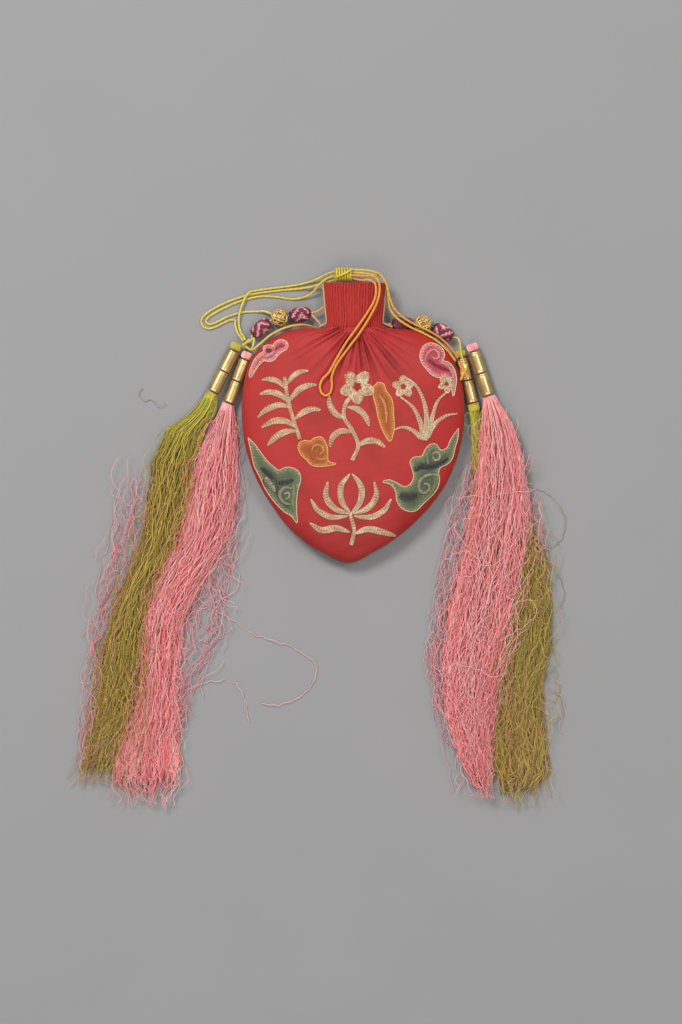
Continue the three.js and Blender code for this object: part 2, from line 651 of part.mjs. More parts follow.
for (const [name, tassel] of Object.entries(tassels)) {
  const direction = tasselDirection(tassel)
  const knobCentre = alongTassel(tassel, -clearance - 0.5 * knobLength)
  addPiece(`${name}_knob`, turned(knotProfile(knobRadius, knobLength), knotSides, knobCentre, direction), tassel.finish)
  const upper = alongTassel(tassel, 0.5 * ferruleLength)
  const lower = alongTassel(tassel, 1.5 * ferruleLength + clearance)
  addPiece(`${name}_ferrule_upper`, turned(ferruleProfile(), ferruleSides, upper, direction), brass)
  addPiece(`${name}_ferrule_lower`, turned(ferruleProfile(), ferruleSides, lower, direction), brass)
  addPiece(`${name}_skirt`, tasselSkirt(tassel), tassel.finish)
}

export default purse
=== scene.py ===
import math

import bpy
import numpy as np
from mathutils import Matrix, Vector
from mathutils.bvhtree import BVHTree


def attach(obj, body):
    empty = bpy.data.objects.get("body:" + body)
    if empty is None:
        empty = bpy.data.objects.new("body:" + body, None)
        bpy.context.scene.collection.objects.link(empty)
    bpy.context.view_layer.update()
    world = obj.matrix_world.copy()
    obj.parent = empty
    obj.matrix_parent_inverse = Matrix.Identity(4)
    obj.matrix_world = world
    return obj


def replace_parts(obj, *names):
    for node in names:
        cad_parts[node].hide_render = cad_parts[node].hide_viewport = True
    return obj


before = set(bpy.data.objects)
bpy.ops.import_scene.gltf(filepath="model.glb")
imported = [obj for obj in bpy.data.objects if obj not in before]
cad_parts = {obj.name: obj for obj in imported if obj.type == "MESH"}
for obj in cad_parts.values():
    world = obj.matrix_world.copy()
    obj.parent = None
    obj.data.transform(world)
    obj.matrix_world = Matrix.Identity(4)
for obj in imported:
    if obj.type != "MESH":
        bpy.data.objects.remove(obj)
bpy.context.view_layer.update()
MM = 0.001
rng = np.random.default_rng(11)

# The photograph's pixels as millimetres on the floor, from the pixel that lies over the origin
PIXEL = 0.45
ORIGIN_PIXEL = (352, 444.5)


def place(points):
    """Pixels of the photograph as X and Y in millimetres."""
    return (np.asarray(points, float) - ORIGIN_PIXEL) * (PIXEL, -PIXEL)


# Curves

def between_places(at, places, values):
    """Each column of the values, followed straight from place to place, at the ones asked for."""
    return np.stack([np.interp(at, places, column) for column in np.asarray(values, float).T], axis=-1)


def cubic(rows, slopes, k, s, span=1):
    """Values between row k and the next one, at share s of the span between them."""
    return ((2 * s**3 - 3 * s**2 + 1) * rows[k] + (s**3 - 2 * s**2 + s) * span * slopes[k]
            + (3 * s**2 - 2 * s**3) * rows[k + 1] + (s**3 - s**2) * span * slopes[k + 1])


def spline(points, count):
    """Count points evenly along a smooth curve through the given ones."""
    points = np.asarray(points, float)
    chord = np.maximum(np.linalg.norm(np.diff(points, axis=0), axis=1), 1e-6)
    knots = np.concatenate([[0], np.cumsum(np.sqrt(chord))])
    slopes = np.gradient(points, knots, axis=0)
    dense = np.linspace(0, knots[-1], max(8 * count, 200))
    k = np.clip(np.searchsorted(knots, dense, side="right") - 1, 0, len(points) - 2)
    span = (knots[k + 1] - knots[k])[:, None]
    s = (dense - knots[k])[:, None] / span
    fine = cubic(points, slopes, k, s, span)
    run = np.concatenate([[0], np.cumsum(np.linalg.norm(np.diff(fine, axis=0), axis=1))])
    return between_places(np.linspace(0, run[-1], count), run, fine)


def length_of(points):
    """Length of a line through the points."""
    return float(np.linalg.norm(np.diff(points, axis=0), axis=1).sum())


def unit(vectors):
    return vectors / np.maximum(np.linalg.norm(vectors, axis=-1, keepdims=True), 1e-9)


def round_axis(angle, side, up):
    """Directions at the angles round an axis, from its side towards up."""
    return np.cos(angle)[:, None] * side + np.sin(angle)[:, None] * up


def carried_frames(path):
    """Side and normal directions carried along a path without twist."""
    tangents = unit(np.gradient(path, axis=0))
    side = np.cross(tangents[0], (0, 0, 1))
    if np.linalg.norm(side) < 0.1:
        side = np.cross(tangents[0], (0, 1, 0))
    sides = [unit(side)]
    for tangent in tangents[1:]:
        sides.append(unit(sides[-1] - tangent * np.dot(sides[-1], tangent)))
    sides = np.array(sides)
    return sides, np.cross(sides, tangents)


# Meshes

class Build:
    """Gathers points, faces and a colour for each point, all in millimetres."""

    def __init__(self):
        self.points, self.quads, self.triangles, self.tints, self.count = [], [], [], [], 0

    def add(self, points, quads=None, triangles=None, tint=(1, 1, 1)):
        points = np.asarray(points, float).reshape(-1, 3)
        self.points.append(points)
        tint = np.clip(np.asarray(tint, float), 0, 1)
        tint = np.broadcast_to(tint, (len(points), 3)) if tint.ndim == 1 else tint.reshape(-1, 3)
        self.tints.append(tint)
        for given, kept in ((quads, self.quads), (triangles, self.triangles)):
            if given is not None and len(given):
                kept.append(np.asarray(given, int) + self.count)
        self.count += len(points)

    def tube(self, path, radius, sides, tint, **more):
        """One closed tube along a path."""
        self.tubes(path[None], np.asarray(radius, float)[None], sides, np.asarray(tint, float)[None], **more)

    def tubes(self, paths, radii, sides, tint=(1, 1, 1), frames=None, flat=1.0):
        """Closed tubes along paths of one point count, (tube, point, 3)."""
        paths = np.asarray(paths, float)
        tubes, steps = paths.shape[:2]
        radii = np.broadcast_to(np.asarray(radii, float), (tubes, steps))
        if frames is None:
            tangents = unit(np.gradient(paths, axis=1))
            side = np.cross(tangents, (0, 0, 1))
            side[np.linalg.norm(side, axis=-1) < 0.05] = (1, 0, 0)
            side = unit(side)
            frames = side, np.cross(side, tangents)
        angle = 2 * math.pi * (np.arange(sides) + 0.5) / sides
        spread = np.cos(angle)[None, None, :, None] * frames[0][:, :, None, :]
        rise = np.sin(angle)[None, None, :, None] * frames[1][:, :, None, :] * flat
        rings = paths[:, :, None, :] + radii[:, :, None, None] * (spread + rise)
        tube, step, k = np.meshgrid(np.arange(tubes), np.arange(steps - 1), np.arange(sides), indexing="ij")

        def at(i, j):
            return ((tube * steps + i) * sides + j % sides).ravel()

        quads = np.stack([at(step, k), at(step, k + 1), at(step + 1, k + 1), at(step + 1, k)], axis=1)
        ends = np.arange(tubes)[:, None] * steps * sides
        ring = np.arange(sides)[None, :]
        first, last = ends + ring[:, ::-1], ends + (steps - 1) * sides + ring
        caps = np.concatenate([first, last])
        tint = np.asarray(tint, float)
        if tint.ndim == 2:
            tint = np.broadcast_to(tint[:, None, :], (tubes, steps, 3))
        if tint.ndim == 3:
            tint = np.broadcast_to(tint[:, :, None, :], rings.shape)
        if sides == 3:
            self.add(rings, quads, caps, tint)
        elif sides == 4:
            self.add(rings, np.concatenate([quads, caps]), None, tint)
        else:
            fans = [np.stack([caps[:, 0], caps[:, n], caps[:, n + 1]], axis=1) for n in range(1, sides - 1)]
            self.add(rings, quads, np.concatenate(fans), tint)

    def finish(self, name, material):
        """Makes the mesh with its tints and lets it ride on the part."""
        points = np.concatenate(self.points) * MM
        sets = [np.concatenate(faces) for faces in (self.quads, self.triangles) if faces]
        corners = np.concatenate([faces.ravel() for faces in sets])
        totals = np.concatenate([np.full(len(faces), faces.shape[1]) for faces in sets])
        mesh = bpy.data.meshes.new(name)
        mesh.vertices.add(len(points))
        mesh.vertices.foreach_set("co", points.astype(np.float32).ravel())
        mesh.loops.add(len(corners))
        mesh.loops.foreach_set("vertex_index", corners.astype(np.int32))
        mesh.polygons.add(len(totals))
        mesh.polygons.foreach_set("loop_start", (np.cumsum(totals) - totals).astype(np.int32))
        mesh.update(calc_edges=True)
        tints = np.concatenate(self.tints)
        layer = mesh.color_attributes.new("tint", "FLOAT_COLOR", "POINT")
        opaque = np.concatenate([tints, np.ones((len(tints), 1))], axis=1)
        layer.data.foreach_set("color", opaque.astype(np.float32).ravel())
        mesh.polygons.foreach_set("use_smooth", np.full(len(totals), True))
        mesh.materials.append(material)
        thing = bpy.data.objects.new(name, mesh)
        bpy.context.scene.collection.objects.link(thing)
        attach(thing, "root")
        return thing


def turn(profile, centre, direction, sides, build, tint=(1, 1, 1)):
    """A profile of (along, radius) rows turned round a direction from a centre."""
    axis = unit(np.asarray(direction, float))
    side = unit(np.cross(axis, (0, 0, 1)) if abs(axis[2]) < 0.9 else np.array([1.0, 0, 0]))
    normal = np.cross(side, axis)
    profile = np.asarray(profile, float)
    angle = 2 * math.pi * np.arange(sides) / sides
    ring = round_axis(angle, side, normal)
    points = np.asarray(centre, float) + profile[:, None, :1] * axis + profile[:, None, 1:2] * ring[None]
    rows = len(profile)
    i, k = np.meshgrid(np.arange(rows - 1), np.arange(sides), indexing="ij")
    low, high, after = i * sides, (i + 1) * sides, (k + 1) % sides
    quads = np.stack([low + k, low + after, high + after, high + k], axis=-1)
    hub, order = np.full(sides - 2, 0), np.arange(sides)
    fans = [np.stack([hub, order[2:], order[1:-1]], axis=1),
            np.stack([hub, order[1:-1], order[2:]], axis=1) + (rows - 1) * sides]
    tint = np.asarray(tint, float)
    if tint.ndim == 2:
        tint = np.broadcast_to(tint[:, None, :], (rows, sides, 3))
    build.add(points, quads.reshape(-1, 4), np.concatenate(fans), tint)


def colour(red, green, blue):
    """A colour as it looks on a screen, from 0 to 255, turned into the light that it stands for."""
    share = np.array([red, green, blue]) / 255
    return np.where(share <= 0.04045, share / 12.92, ((share + 0.055) / 1.055) ** 2.4)


# Materials

def shader(name, base, roughness, sheen=0.0, metallic=0.0, bump=None, spots=(300, 0.88), tinted=False):
    """bump is (kind, scale, strength); spots is (scale, darkest share)."""
    material = bpy.data.materials.new(name)
    material.use_nodes = True
    nodes, links = material.node_tree.nodes, material.node_tree.links

    def node(kind, **values):
        made = nodes.new("ShaderNode" + kind)
        for socket, value in values.items():
            made.inputs[socket.replace("_", " ")].default_value = value
        return made

    principled = nodes["Principled BSDF"]
    principled.inputs["Roughness"].default_value = roughness
    principled.inputs["Metallic"].default_value = metallic
    principled.inputs["Sheen Weight"].default_value = sheen
    principled.inputs["Sheen Roughness"].default_value = 0.4
    own_place = node("TexCoord").outputs["Object"]
    noise = node("TexNoise", Scale=spots[0], Detail=4)
    links.new(own_place, noise.inputs["Vector"])
    ramp = node("MapRange", From_Min=0.3, From_Max=0.7, To_Min=spots[1], To_Max=1.0)
    links.new(noise.outputs["Fac"], ramp.inputs["Value"])
    mix = nodes.new("ShaderNodeMix")
    mix.data_type = "RGBA"
    mix.blend_type = "MULTIPLY"
    mix.inputs["Factor"].default_value = 1
    if tinted:
        attribute = node("Attribute")
        attribute.attribute_name = "tint"
        links.new(attribute.outputs["Color"], mix.inputs["A"])
    else:
        mix.inputs["A"].default_value = (*base, 1)
    links.new(ramp.outputs["Result"], mix.inputs["B"])
    links.new(mix.outputs["Result"], principled.inputs["Base Color"])
    if bump:
        kind, scale, strength = bump
        relief = node("Bump", Strength=strength, Distance=0.0002)
        if kind == "weave":
            both = node("Math")
            both.operation = "ADD"
            for slot, direction in enumerate(("X", "Y")):
                wave = node("TexWave", Scale=scale, Distortion=1.5)
                wave.bands_direction = direction
                links.new(own_place, wave.inputs["Vector"])
                links.new(wave.outputs["Fac"], both.inputs[slot])
            height = both.outputs[0]
        else:
            grain = node("TexNoise", Scale=scale)
            links.new(own_place, grain.inputs["Vector"])
            height = grain.outputs["Fac"]
        links.new(height, relief.inputs["Height"])
        links.new(relief.outputs["Normal"], principled.inputs["Normal"])
    return material


WHITE = (1, 1, 1)
red_silk = shader("red silk", WHITE, 0.6, sheen=0.06, bump=("weave", 1800, 0.25), spots=(60, 0.86),
                  tinted=True)
cream = shader("cream piping", colour(196, 156, 108), 0.7, bump=("noise", 3000, 0.4))
cord_silk = shader("cord silk", WHITE, 0.5, sheen=0.15, spots=(500, 0.82), tinted=True)
thread = shader("thread", WHITE, 0.5, sheen=0.2, spots=(900, 0.8), tinted=True)
gold = shader("gold thread", WHITE, 0.38, metallic=0.35, spots=(700, 0.72), tinted=True)
brass = shader("brass", colour(214, 182, 126), 0.34, metallic=0.85, bump=("noise", 900, 0.12),
               spots=(220, 0.66))
floss = shader("tassel floss", WHITE, 0.6, sheen=0.35, spots=(400, 0.85), tinted=True)

# Cords. Each row of a route is a point in millimetres.

CORD = 1.1
YELLOW = colour(222, 194, 60)
PALE_YELLOW = colour(226, 208, 98)
AMBER = colour(230, 158, 60)
ORANGE = colour(222, 130, 62)
ROUTES = {
    "cord_left_outer": [
        (-8.1, 73.8, 6.2), (-10.3, 73.3, 5.6), (-13.9, 72.4, 4.4), (-18, 71.2, 2.8), (-22.5, 70.5, 1.5),
        (-30.6, 69.8, .7), (-38.7, 68.9, .7), (-46.6, 67.6, .7), (-54, 65.3, .7), (-61.3, 62, .7),
        (-66.3, 58.7, .7), (-68, 56, .7), (-67.2, 53.5, .7), (-64.8, 52.4, .7), (-61.9, 53.1, .7),
        (-55.1, 56.2, .7), (-52.9, 56.1, .7), (-52.6, 53.6, .7), (-51.5, 50.3, 1), (-49.9, 48, 2),
        (-49.0, 46.6, 3)],
    "cord_left_inner": [
        (-8.1, 75.6, 7.4), (-11, 74.6, 7), (-14.6, 72, 6), (-17.3, 68.9, 3.6), (-20.7, 66.8, 1.8),
        (-26.9, 65.7, .7), (-33.3, 66.6, .7), (-41.3, 66.9, .7), (-51, 64.6, .7), (-60, 60.5, .7),
        (-65, 57.4, .7), (-65.9, 55.8, .7), (-64.5, 54.4, .7), (-62.1, 54.9, .7), (-55.4, 58.1, .7),
        (-48.6, 59.9, .7), (-42.6, 60.1, .8), (-39.8, 60.1, 1.8), (-37.6, 59.4, 3), (-36.4, 58.8, 3.6)],
    "cord_left_drop": [
        (-8.1, 77.6, 6.2), (-11.4, 76.6, 4.6), (-15.6, 74.6, 2.6), (-20.6, 73, 1.2), (-27.9, 71.6, .7),
        (-36, 70.6, .7), (-43, 69.6, .9), (-46, 68.9, 1.6), (-47.8, 67, 2.2), (-48.9, 64.6, 2.2),
        (-50, 61.8, 1.8), (-50.6, 59.6, 2.2), (-51, 56.6, 1.6), (-50.9, 53.4, 1.2), (-50.1, 50.6, 2.4),
        (-48.9, 48.6, 3.7), (-48.2, 47, 4.2)],
    "cord_left_shoulder": [
        (-44.6, 42.4, 4.9), (-43.2, 43.5, 6.6), (-40.9, 45.5, 7.5), (-35.8, 49.6, 7.6), (-29.6, 52.5, 7.5),
        (-23.4, 53.8, 6.4), (-19.6, 53.6, 4.4), (-15.9, 52.4, 2)],
    "cord_front_loop": [
        (.5, 74.3, 8.6), (4, 73.3, 11.2), (7.9, 73.2, 13.4), (10.2, 71.6, 14.2), (10.7, 68, 14.2),
        (9.8, 64, 14.2), (7, 59, 14.5), (2.2, 52, 15.6), (-2.9, 44.8, 17.3), (-6.9, 38, 18.3),
        (-10.2, 32, 18.6), (-13.3, 28.6, 18.8), (-14.3, 25.7, 18.8), (-13.6, 22.7, 18.8),
        (-11.7, 21.4, 18.8), (-9.8, 22.7, 18.8), (-9, 25.7, 18.8), (-9.1, 29.6, 18.8), (-7.2, 34.8, 18.5),
        (-2.2, 42, 17.7), (3.4, 49.6, 16), (8, 57, 14.6), (11.2, 63.4, 14.2), (12.3, 68.6, 14.2),
        (11.8, 72.6, 14.2), (9.7, 74.8, 13.4), (5.4, 75.3, 11), (.5, 75.7, 9.4)],
    "cord_right_outer": [
        (.5, 78.3, 8.2), (4.5, 78.1, 9.8), (9, 77.4, 11.4), (13.2, 75.2, 12.2), (15.6, 71, 11.4),
        (16.8, 66.2, 9.4), (18.6, 61.6, 8.4), (22.2, 57.6, 7.9), (28, 53.9, 8.4), (34.2, 51, 8.4),
        (39.4, 47.9, 7.8), (44, 43.6, 8), (47.6, 38.6, 9.2)],
    "cord_right_inner": [
        (.5, 76.9, 8), (4.5, 76.7, 9.4), (8.8, 76, 10.2), (13.4, 75, 10.6), (15.8, 71.2, 9.6),
        (16.3, 66, 8.2), (17.3, 60.4, 6.9), (20.8, 56, 8.8), (26.6, 52.3, 9.4), (33, 49.3, 9.6),
        (38.4, 46.1, 9.8), (42.8, 42, 10), (46.4, 37.2, 10.6)],
}
CORD_TINTS = {
    "cord_left_outer": (YELLOW, PALE_YELLOW), "cord_left_inner": (YELLOW, PALE_YELLOW),
    "cord_left_drop": (YELLOW, PALE_YELLOW), "cord_left_shoulder": (PALE_YELLOW, AMBER),
    "cord_front_loop": (AMBER, AMBER), "cord_right_outer": (YELLOW, ORANGE),
    "cord_right_inner": (YELLOW, AMBER),
}


def twisted(build, route, start_tint, end_tint, diameter=CORD, step=0.5):
    """A cord of twisted plies along a route."""
    pitch, plies, sides = 2.4, 3, 5
    total = length_of(spline(route, 400))
    path = spline(route, max(8, int(total / step)))
    side, normal = carried_frames(path)
    run = np.linspace(0, total, len(path))
    share = run / total
    for ply in range(plies):
        angle = 2 * math.pi * (run / pitch + ply / plies)
        line = path + round_axis(angle, side, normal) * diameter * 0.25
        tint = start_tint * (1 - share)[:, None] + end_tint * share[:, None]
        tint = tint * (0.92 + 0.08 * ply + 0.05 * rng.standard_normal((len(path), 1)))
        build.tube(line, diameter * 0.26, sides, tint, frames=(side[None], normal[None]))
    return path


for name, route in ROUTES.items():
    build = Build()
    path = twisted(build, route, *CORD_TINTS[name], step=0.36)
    cord = build.finish(name.replace("cord", "twisted_cord"), cord_silk)
    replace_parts(cord, name)

# The bag. Each row of a section table gives the silk's two sides, as in the CAD part.

HALF_WIDTH, HEIGHT, SHOULDER = 50, 105.7, 52.4
NECK_WIDTH, NECK_HEIGHT, NECK_OFFSET, NECK_DEPTH = 12.8, 19.8, 1.2, 5.6
SEAM, CROWN, WALL = 7, 10.3, 1.2
PLEATS = 22
FAN_FOLDS = 15
FAN_CENTRE = (2.2, 55.0)
FAN_RISE = 1.45
# Half the gap between front and back at their edges, outside and inside, and the thinnest silk there
EDGE_GAP, INNER_GAP, THIN = 0.15, 0.16, 0.02
# Shares of the outline's width and height that the inner faces keep, about a height on the bag
INNER_WIDTH, INNER_HEIGHT, INNER_MIDDLE = 0.975, 0.98, 8
NECK_ROWS = [
    # left, right, rise, puff
    (-1.1, 1.1, 1, 1),
    (-1.06, 1.06, .8, .97),
    (-1.03, 1.03, .52, .94),
    (-.98, .98, .14, 1),
    (-1.08, 1.08, -.03, .98),
]
HEART_ROWS = [
    # left, left drop, right, right drop, middle, puff
    (-.25, -.004, .31, -.004, .0, .56),
    (-.29, .004, .36, .004, .035, .63),
    (-.424, .001, .522, .009, .075, .75),
    (-.558, .012, .658, .029, .12, .85),
    (-.694, .038, .766, .06, .172, .92),
    (-.81, .077, .86, .1, .228, .97),
    (-.9, .128, .93, .155, .293, 1),
    (-.956, .198, .978, .212, .365, 1),
    (-.988, .3, 1.01, .31, .462, .99),
    (-.984, .42, 1.003, .42, .57, .96),
    (-.943, .535, .955, .535, .675, .92),
    (-.853, .65, .86, .65, .77, .85),
    (-.73, .75, .72, .75, .845, .76),
    (-.585, .842, .535, .842, .902, .64),
    (-.42, .913, .345, .913, .946, .5),
    (-.306, .946, .226, .946, .976, .34),
    (-.198, .973, .13, .97, 1, 0),
]


def smooth_rows(rows, count):
    """The table's columns followed smoothly, at count places from the first row to the last."""
    rows = np.asarray(rows, float)
    at = np.linspace(0, len(rows) - 1, count)
    k = np.minimum(at.astype(int), len(rows) - 2)
    return cubic(rows, np.gradient(rows, axis=0), k, (at - k)[:, None])


def fold_noise(across, seed):
    """A smooth irregular value from -1 to 1 along a pleat's number."""
    phase = np.random.default_rng(seed).uniform(0, 6.28, 5)
    return sum(np.sin(across * f + p) for f, p in zip((1.3, 2.9, 4.1, 6.3, 9.7), phase)) / 2.6


def fold_shape(inside, swell, crease, width):
    """Height across a fold, where inside runs 0 to 1: a round swell with a crease along both edges."""
    edge = np.minimum(inside, 1 - inside)
    return swell * np.sqrt(np.clip(1 - (2 * inside - 1) ** 2, 0, 1)) - crease * np.exp(-(edge / width) ** 2)


def dome_over(s):
    """Share of the full puff at s, which runs -1 to 1 across the bag."""
    return np.clip(1 - np.abs(s) ** 2.6, 0, 1) ** 0.5


def neck_folds(share, drop):
    """Height of the neck's pleats where they run out on the bag: share runs -1 to 1 across."""
    number = (share + 1) / 2 * PLEATS + 0.12 * fold_noise((share + 1) / 2 * PLEATS, 3)
    return fold_shape(number % 1, 0.5, 0, 1) * np.clip(1 - drop / 7, 0, 1)


def fan_folds(x, y):
    """Height of the folds that fan out below the neck."""
    across, down = x - FAN_CENTRE[0], FAN_CENTRE[1] - y
    far = np.hypot(across, down)
    turned = np.arctan2(np.maximum(down, 0), across) / math.pi
    number = turned * FAN_FOLDS
    number = number + 0.3 * fold_noise(number, 3) + 0.1 * np.sin(far * 0.16 + number * 1.7)
    near = np.floor(number)
    reach = 20 + 9 * fold_noise(near, 5) + 16 * np.sin(math.pi * turned)
    fade = np.clip(1 - (far - 5) / np.maximum(reach, 8), 0, 1) ** 1.4 * np.clip((far - 4) / 6, 0, 1)
    size = 1 + 0.35 * fold_noise(near * 1.9, 8)
    return size * fold_shape(number - near, 0.9, 1.15, 0.19) * fade


heart = smooth_rows(HEART_ROWS, 131)
heart_left = np.stack([heart[:, 0] * HALF_WIDTH, SHOULDER - heart[:, 1] * HEIGHT], axis=1)
heart_right = np.stack([heart[:, 2] * HALF_WIDTH, SHOULDER - heart[:, 3] * HEIGHT], axis=1)
heart_middle = SHOULDER - heart[:, 4] * HEIGHT
heart_puff = np.clip(heart[:, 5], 0, 1)
heart_puff[-12:] = heart_puff[-12] * np.sqrt(np.linspace(1, 0, 12))
# Places across the bag from -1 to 1, closer together near its sides
COLUMNS = 151
closer = np.sin(np.linspace(-math.pi / 2, math.pi / 2, COLUMNS))
bag_places = 0.45 * closer + 0.55 * np.linspace(-1, 1, COLUMNS)


def heart_sheet(crown, folds):
    """Points of one side of the heart with its height off the seam."""
    s = bag_places[None, :]
    x = (heart_left[:, :1] * (1 - s) + heart_right[:, :1] * (1 + s)) / 2
    side = np.where(s < 0, heart_left[:, 1:], heart_right[:, 1:])
    y = heart_middle[:, None] + (side - heart_middle[:, None]) * s**2
    dome = dome_over(s)
    z = heart_puff[:, None] * crown * dome
    if folds:
        drop = np.maximum(0, SHOULDER - y)
        folds_here = neck_folds(np.broadcast_to(s, y.shape), drop) + FAN_RISE * fan_folds(x, y)
        z = z + folds_here * np.minimum(1, dome * 1.4)
        z = z + 0.22 * np.sin(x * 0.21 + y * 0.13) * np.sin(y * 0.17 - 1) * dome
        z = z + 0.10 * np.sin(x * 0.53 - y * 0.37 + 2) * np.sin(x * 0.11 + y * 0.71) * dome
    return np.stack([x, y, np.maximum(z, 0)], axis=-1)


def inner_face(facing):
    """The silk's inner face, set in from its outer one. Facing is 1 in front and -1 behind."""
    points = heart_sheet(CROWN - WALL, False) * (INNER_WIDTH, 1, facing)
    points = points + (0, 0, SEAM + INNER_GAP * facing)
    points[..., 1] = INNER_MIDDLE + (points[..., 1] - INNER_MIDDLE) * INNER_HEIGHT
    return points


def skin(build, outer, inner, tint, ring=False):
    """A closed body between two grids. Their borders are joined, or their sides meet in a ring."""
    rows, columns = outer.shape[:2]
    a, b = np.arange(rows - 1), np.arange(columns if ring else columns - 1)
    i, j = np.meshgrid(a, b, indexing="ij")

    def face(*corners):
        places = [(sheet * rows + row) * columns + column % columns for sheet, row, column in corners]
        return np.stack(places, axis=-1).reshape(-1, 4)

    faces = [face((0, i, j), (0, i + 1, j), (0, i + 1, j + 1), (0, i, j + 1)),
             face((1, i, j), (1, i, j + 1), (1, i + 1, j + 1), (1, i + 1, j))]
    side, end = columns - 1, rows - 1
    if not ring:
        faces.append(face((0, a, 0), (1, a, 0), (1, a + 1, 0), (0, a + 1, 0)))
        faces.append(face((0, a, side), (0, a + 1, side), (1, a + 1, side), (1, a, side)))
    faces.append(face((0, 0, b), (0, 0, b + 1), (1, 0, b + 1), (1, 0, b)))
    faces.append(face((0, end, b), (1, end, b), (1, end, b + 1), (0, end, b + 1)))
    build.add(np.concatenate([outer.reshape(-1, 3), inner.reshape(-1, 3)]), np.concatenate(faces), None,
              np.concatenate([tint.reshape(-1, 3)] * 2))


RED = colour(168, 18, 11)
# Painted shade for the hollows of the silk's folds
CREASE_SHADE_RED = colour(106, 7, 6)
ROSE = colour(183, 42, 28)
# Painted highlight for the ridges of the silk's folds
RIDGE_HIGHLIGHT_ROSE = colour(172, 34, 36)


def silk_tint(points):
    """The silk's red, rosier in clouds where it is worn, and darkened towards the tip with painted shade."""
    x, y = points[..., 0], points[..., 1]
    cloud = np.sin(x * 0.11 + 1.3 * np.sin(y * 0.07)) * np.sin(y * 0.09 + 0.8 * np.sin(x * 0.05)) * 0.5 + 0.5
    tint = RED + (ROSE - RED) * (0.45 * cloud[..., None])
    # Painted shade: the red grows darker towards the tip, where the bag turns away from the light
    return tint * (1 - 0.25 * np.clip((-10 - y) / 45, 0, 1)[..., None])


front = heart_sheet(CROWN, True)
build = Build()
outer = front + (0, 0, SEAM + EDGE_GAP)
inner = inner_face(1)
inner[..., 2] = np.minimum(inner[..., 2], outer[..., 2] - THIN)
valley = np.clip((front[..., 2] - heart_sheet(CROWN, False)[..., 2]) / 0.8, -1, 0.4)
tint = silk_tint(outer)
# Painted shade darkens the hollows of the folds and wrinkles; a painted highlight makes their ridges rosier
tint = tint + (CREASE_SHADE_RED - tint) * np.clip(-valley, 0, 1)[..., None] * 0.85
tint = tint + (RIDGE_HIGHLIGHT_ROSE - tint) * np.clip(valley, 0, 0.4)[..., None] * 1.6
skin(build, outer, inner, tint)
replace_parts(build.finish("silk_front", red_silk), "front_panel")

build = Build()
back = heart_sheet(CROWN, False)
outer_back = back * (1, 1, -1) + (0, 0, SEAM - EDGE_GAP)
outer_back[..., 2] = np.maximum(outer_back[..., 2], THIN)
inner_back = inner_face(-1)
inner_back[..., 2] = np.maximum(inner_back[..., 2], np.maximum(outer_back[..., 2] + THIN, WALL))
coarse = (slice(None, None, 2), slice(None, None, 3))
# The back's red is painted darker, as shade on the underside of the bag
skin(build, outer_back[coarse][:, ::-1], inner_back[coarse][:, ::-1], silk_tint(outer_back[coarse]) * 0.8)
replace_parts(build.finish("silk_back", red_silk), "back_panel")

# The neck's pleats go all round

neck = smooth_rows(NECK_ROWS, 26)
NECK_COLUMNS = 352


def neck_ring(inset):
    """Points of the neck's silk, set in from its outer face, and the height of its pleats."""
    turn_share = np.arange(NECK_COLUMNS) / NECK_COLUMNS * 2
    s = np.where(turn_share < 1, -1 + 2 * turn_share, 1 - 2 * (turn_share - 1))
    facing = np.where(turn_share < 1, 1, -1)
    left = NECK_OFFSET + neck[:, :1] * NECK_WIDTH + inset
    right = NECK_OFFSET + neck[:, 1:2] * NECK_WIDTH - inset
    x = (left * (1 - s) + right * (1 + s)) / 2
    dome = dome_over(s)
    z = np.maximum(0, neck[:, 3:4] * NECK_DEPTH - inset) * dome
    y = SHOULDER + neck[:, 2:3] * NECK_HEIGHT + 0 * x
    number = (s + 1) / 2 * PLEATS + 0.1 * fold_noise(s * 7, 3)
    sway = 0.1 * np.sin(y * 0.35 + number * 1.3)
    ridge = fold_shape((number + sway) % 1, 0.55, 0.3, 0.14)
    ridge = ridge * (1 + 0.25 * fold_noise(np.floor(number) * 1.7, 21))
    if inset == 0:
        z = z + ridge * np.minimum(1, dome * 1.6)
    mouth = 0.25 * np.sin(s * 40) * (neck[:, 2:3] > 0.999)
    points = np.stack([x, y + mouth, SEAM + facing * np.maximum(z, 0)], axis=-1)
    return points, np.broadcast_to(ridge, x.shape)


build = Build()
outer_neck, ridge = neck_ring(0)
inner_neck, _ = neck_ring(WALL)
tint = silk_tint(outer_neck)
# Painted shade darkens the creases between the neck's pleats
tint = tint + (CREASE_SHADE_RED - tint) * np.clip(-ridge, 0, 0.6)[..., None] * 0.9
skin(build, outer_neck, inner_neck, tint, ring=True)
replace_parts(build.finish("silk_neck", red_silk), "pleated_neck")

# Silk thread and gold thread worked on the front

grid = outer[::2, ::2]
rows, columns = grid.shape[:2]
front_tree = BVHTree.FromPolygons(
    [tuple(point) for point in grid.reshape(-1, 3)],
    [(i * columns + j, (i + 1) * columns + j, (i + 1) * columns + j + 1, i * columns + j + 1)
     for i in range(rows - 1) for j in range(columns - 1)])


def on_silk(points, lift):
    """Points of the plan laid on the front, at a lift above it."""
    points = np.asarray(points, float)
    heights = []
    for x, y in points.reshape(-1, 2):
        hit = front_tree.ray_cast(Vector((x, y, 60)), Vector((0, 0, -1)))[0]
        heights.append(hit.z if hit is not None else SEAM + 0.3)
    heights = np.array(heights).reshape(points.shape[:-1]) + lift
    return np.concatenate([points, heights[..., None]], axis=-1)


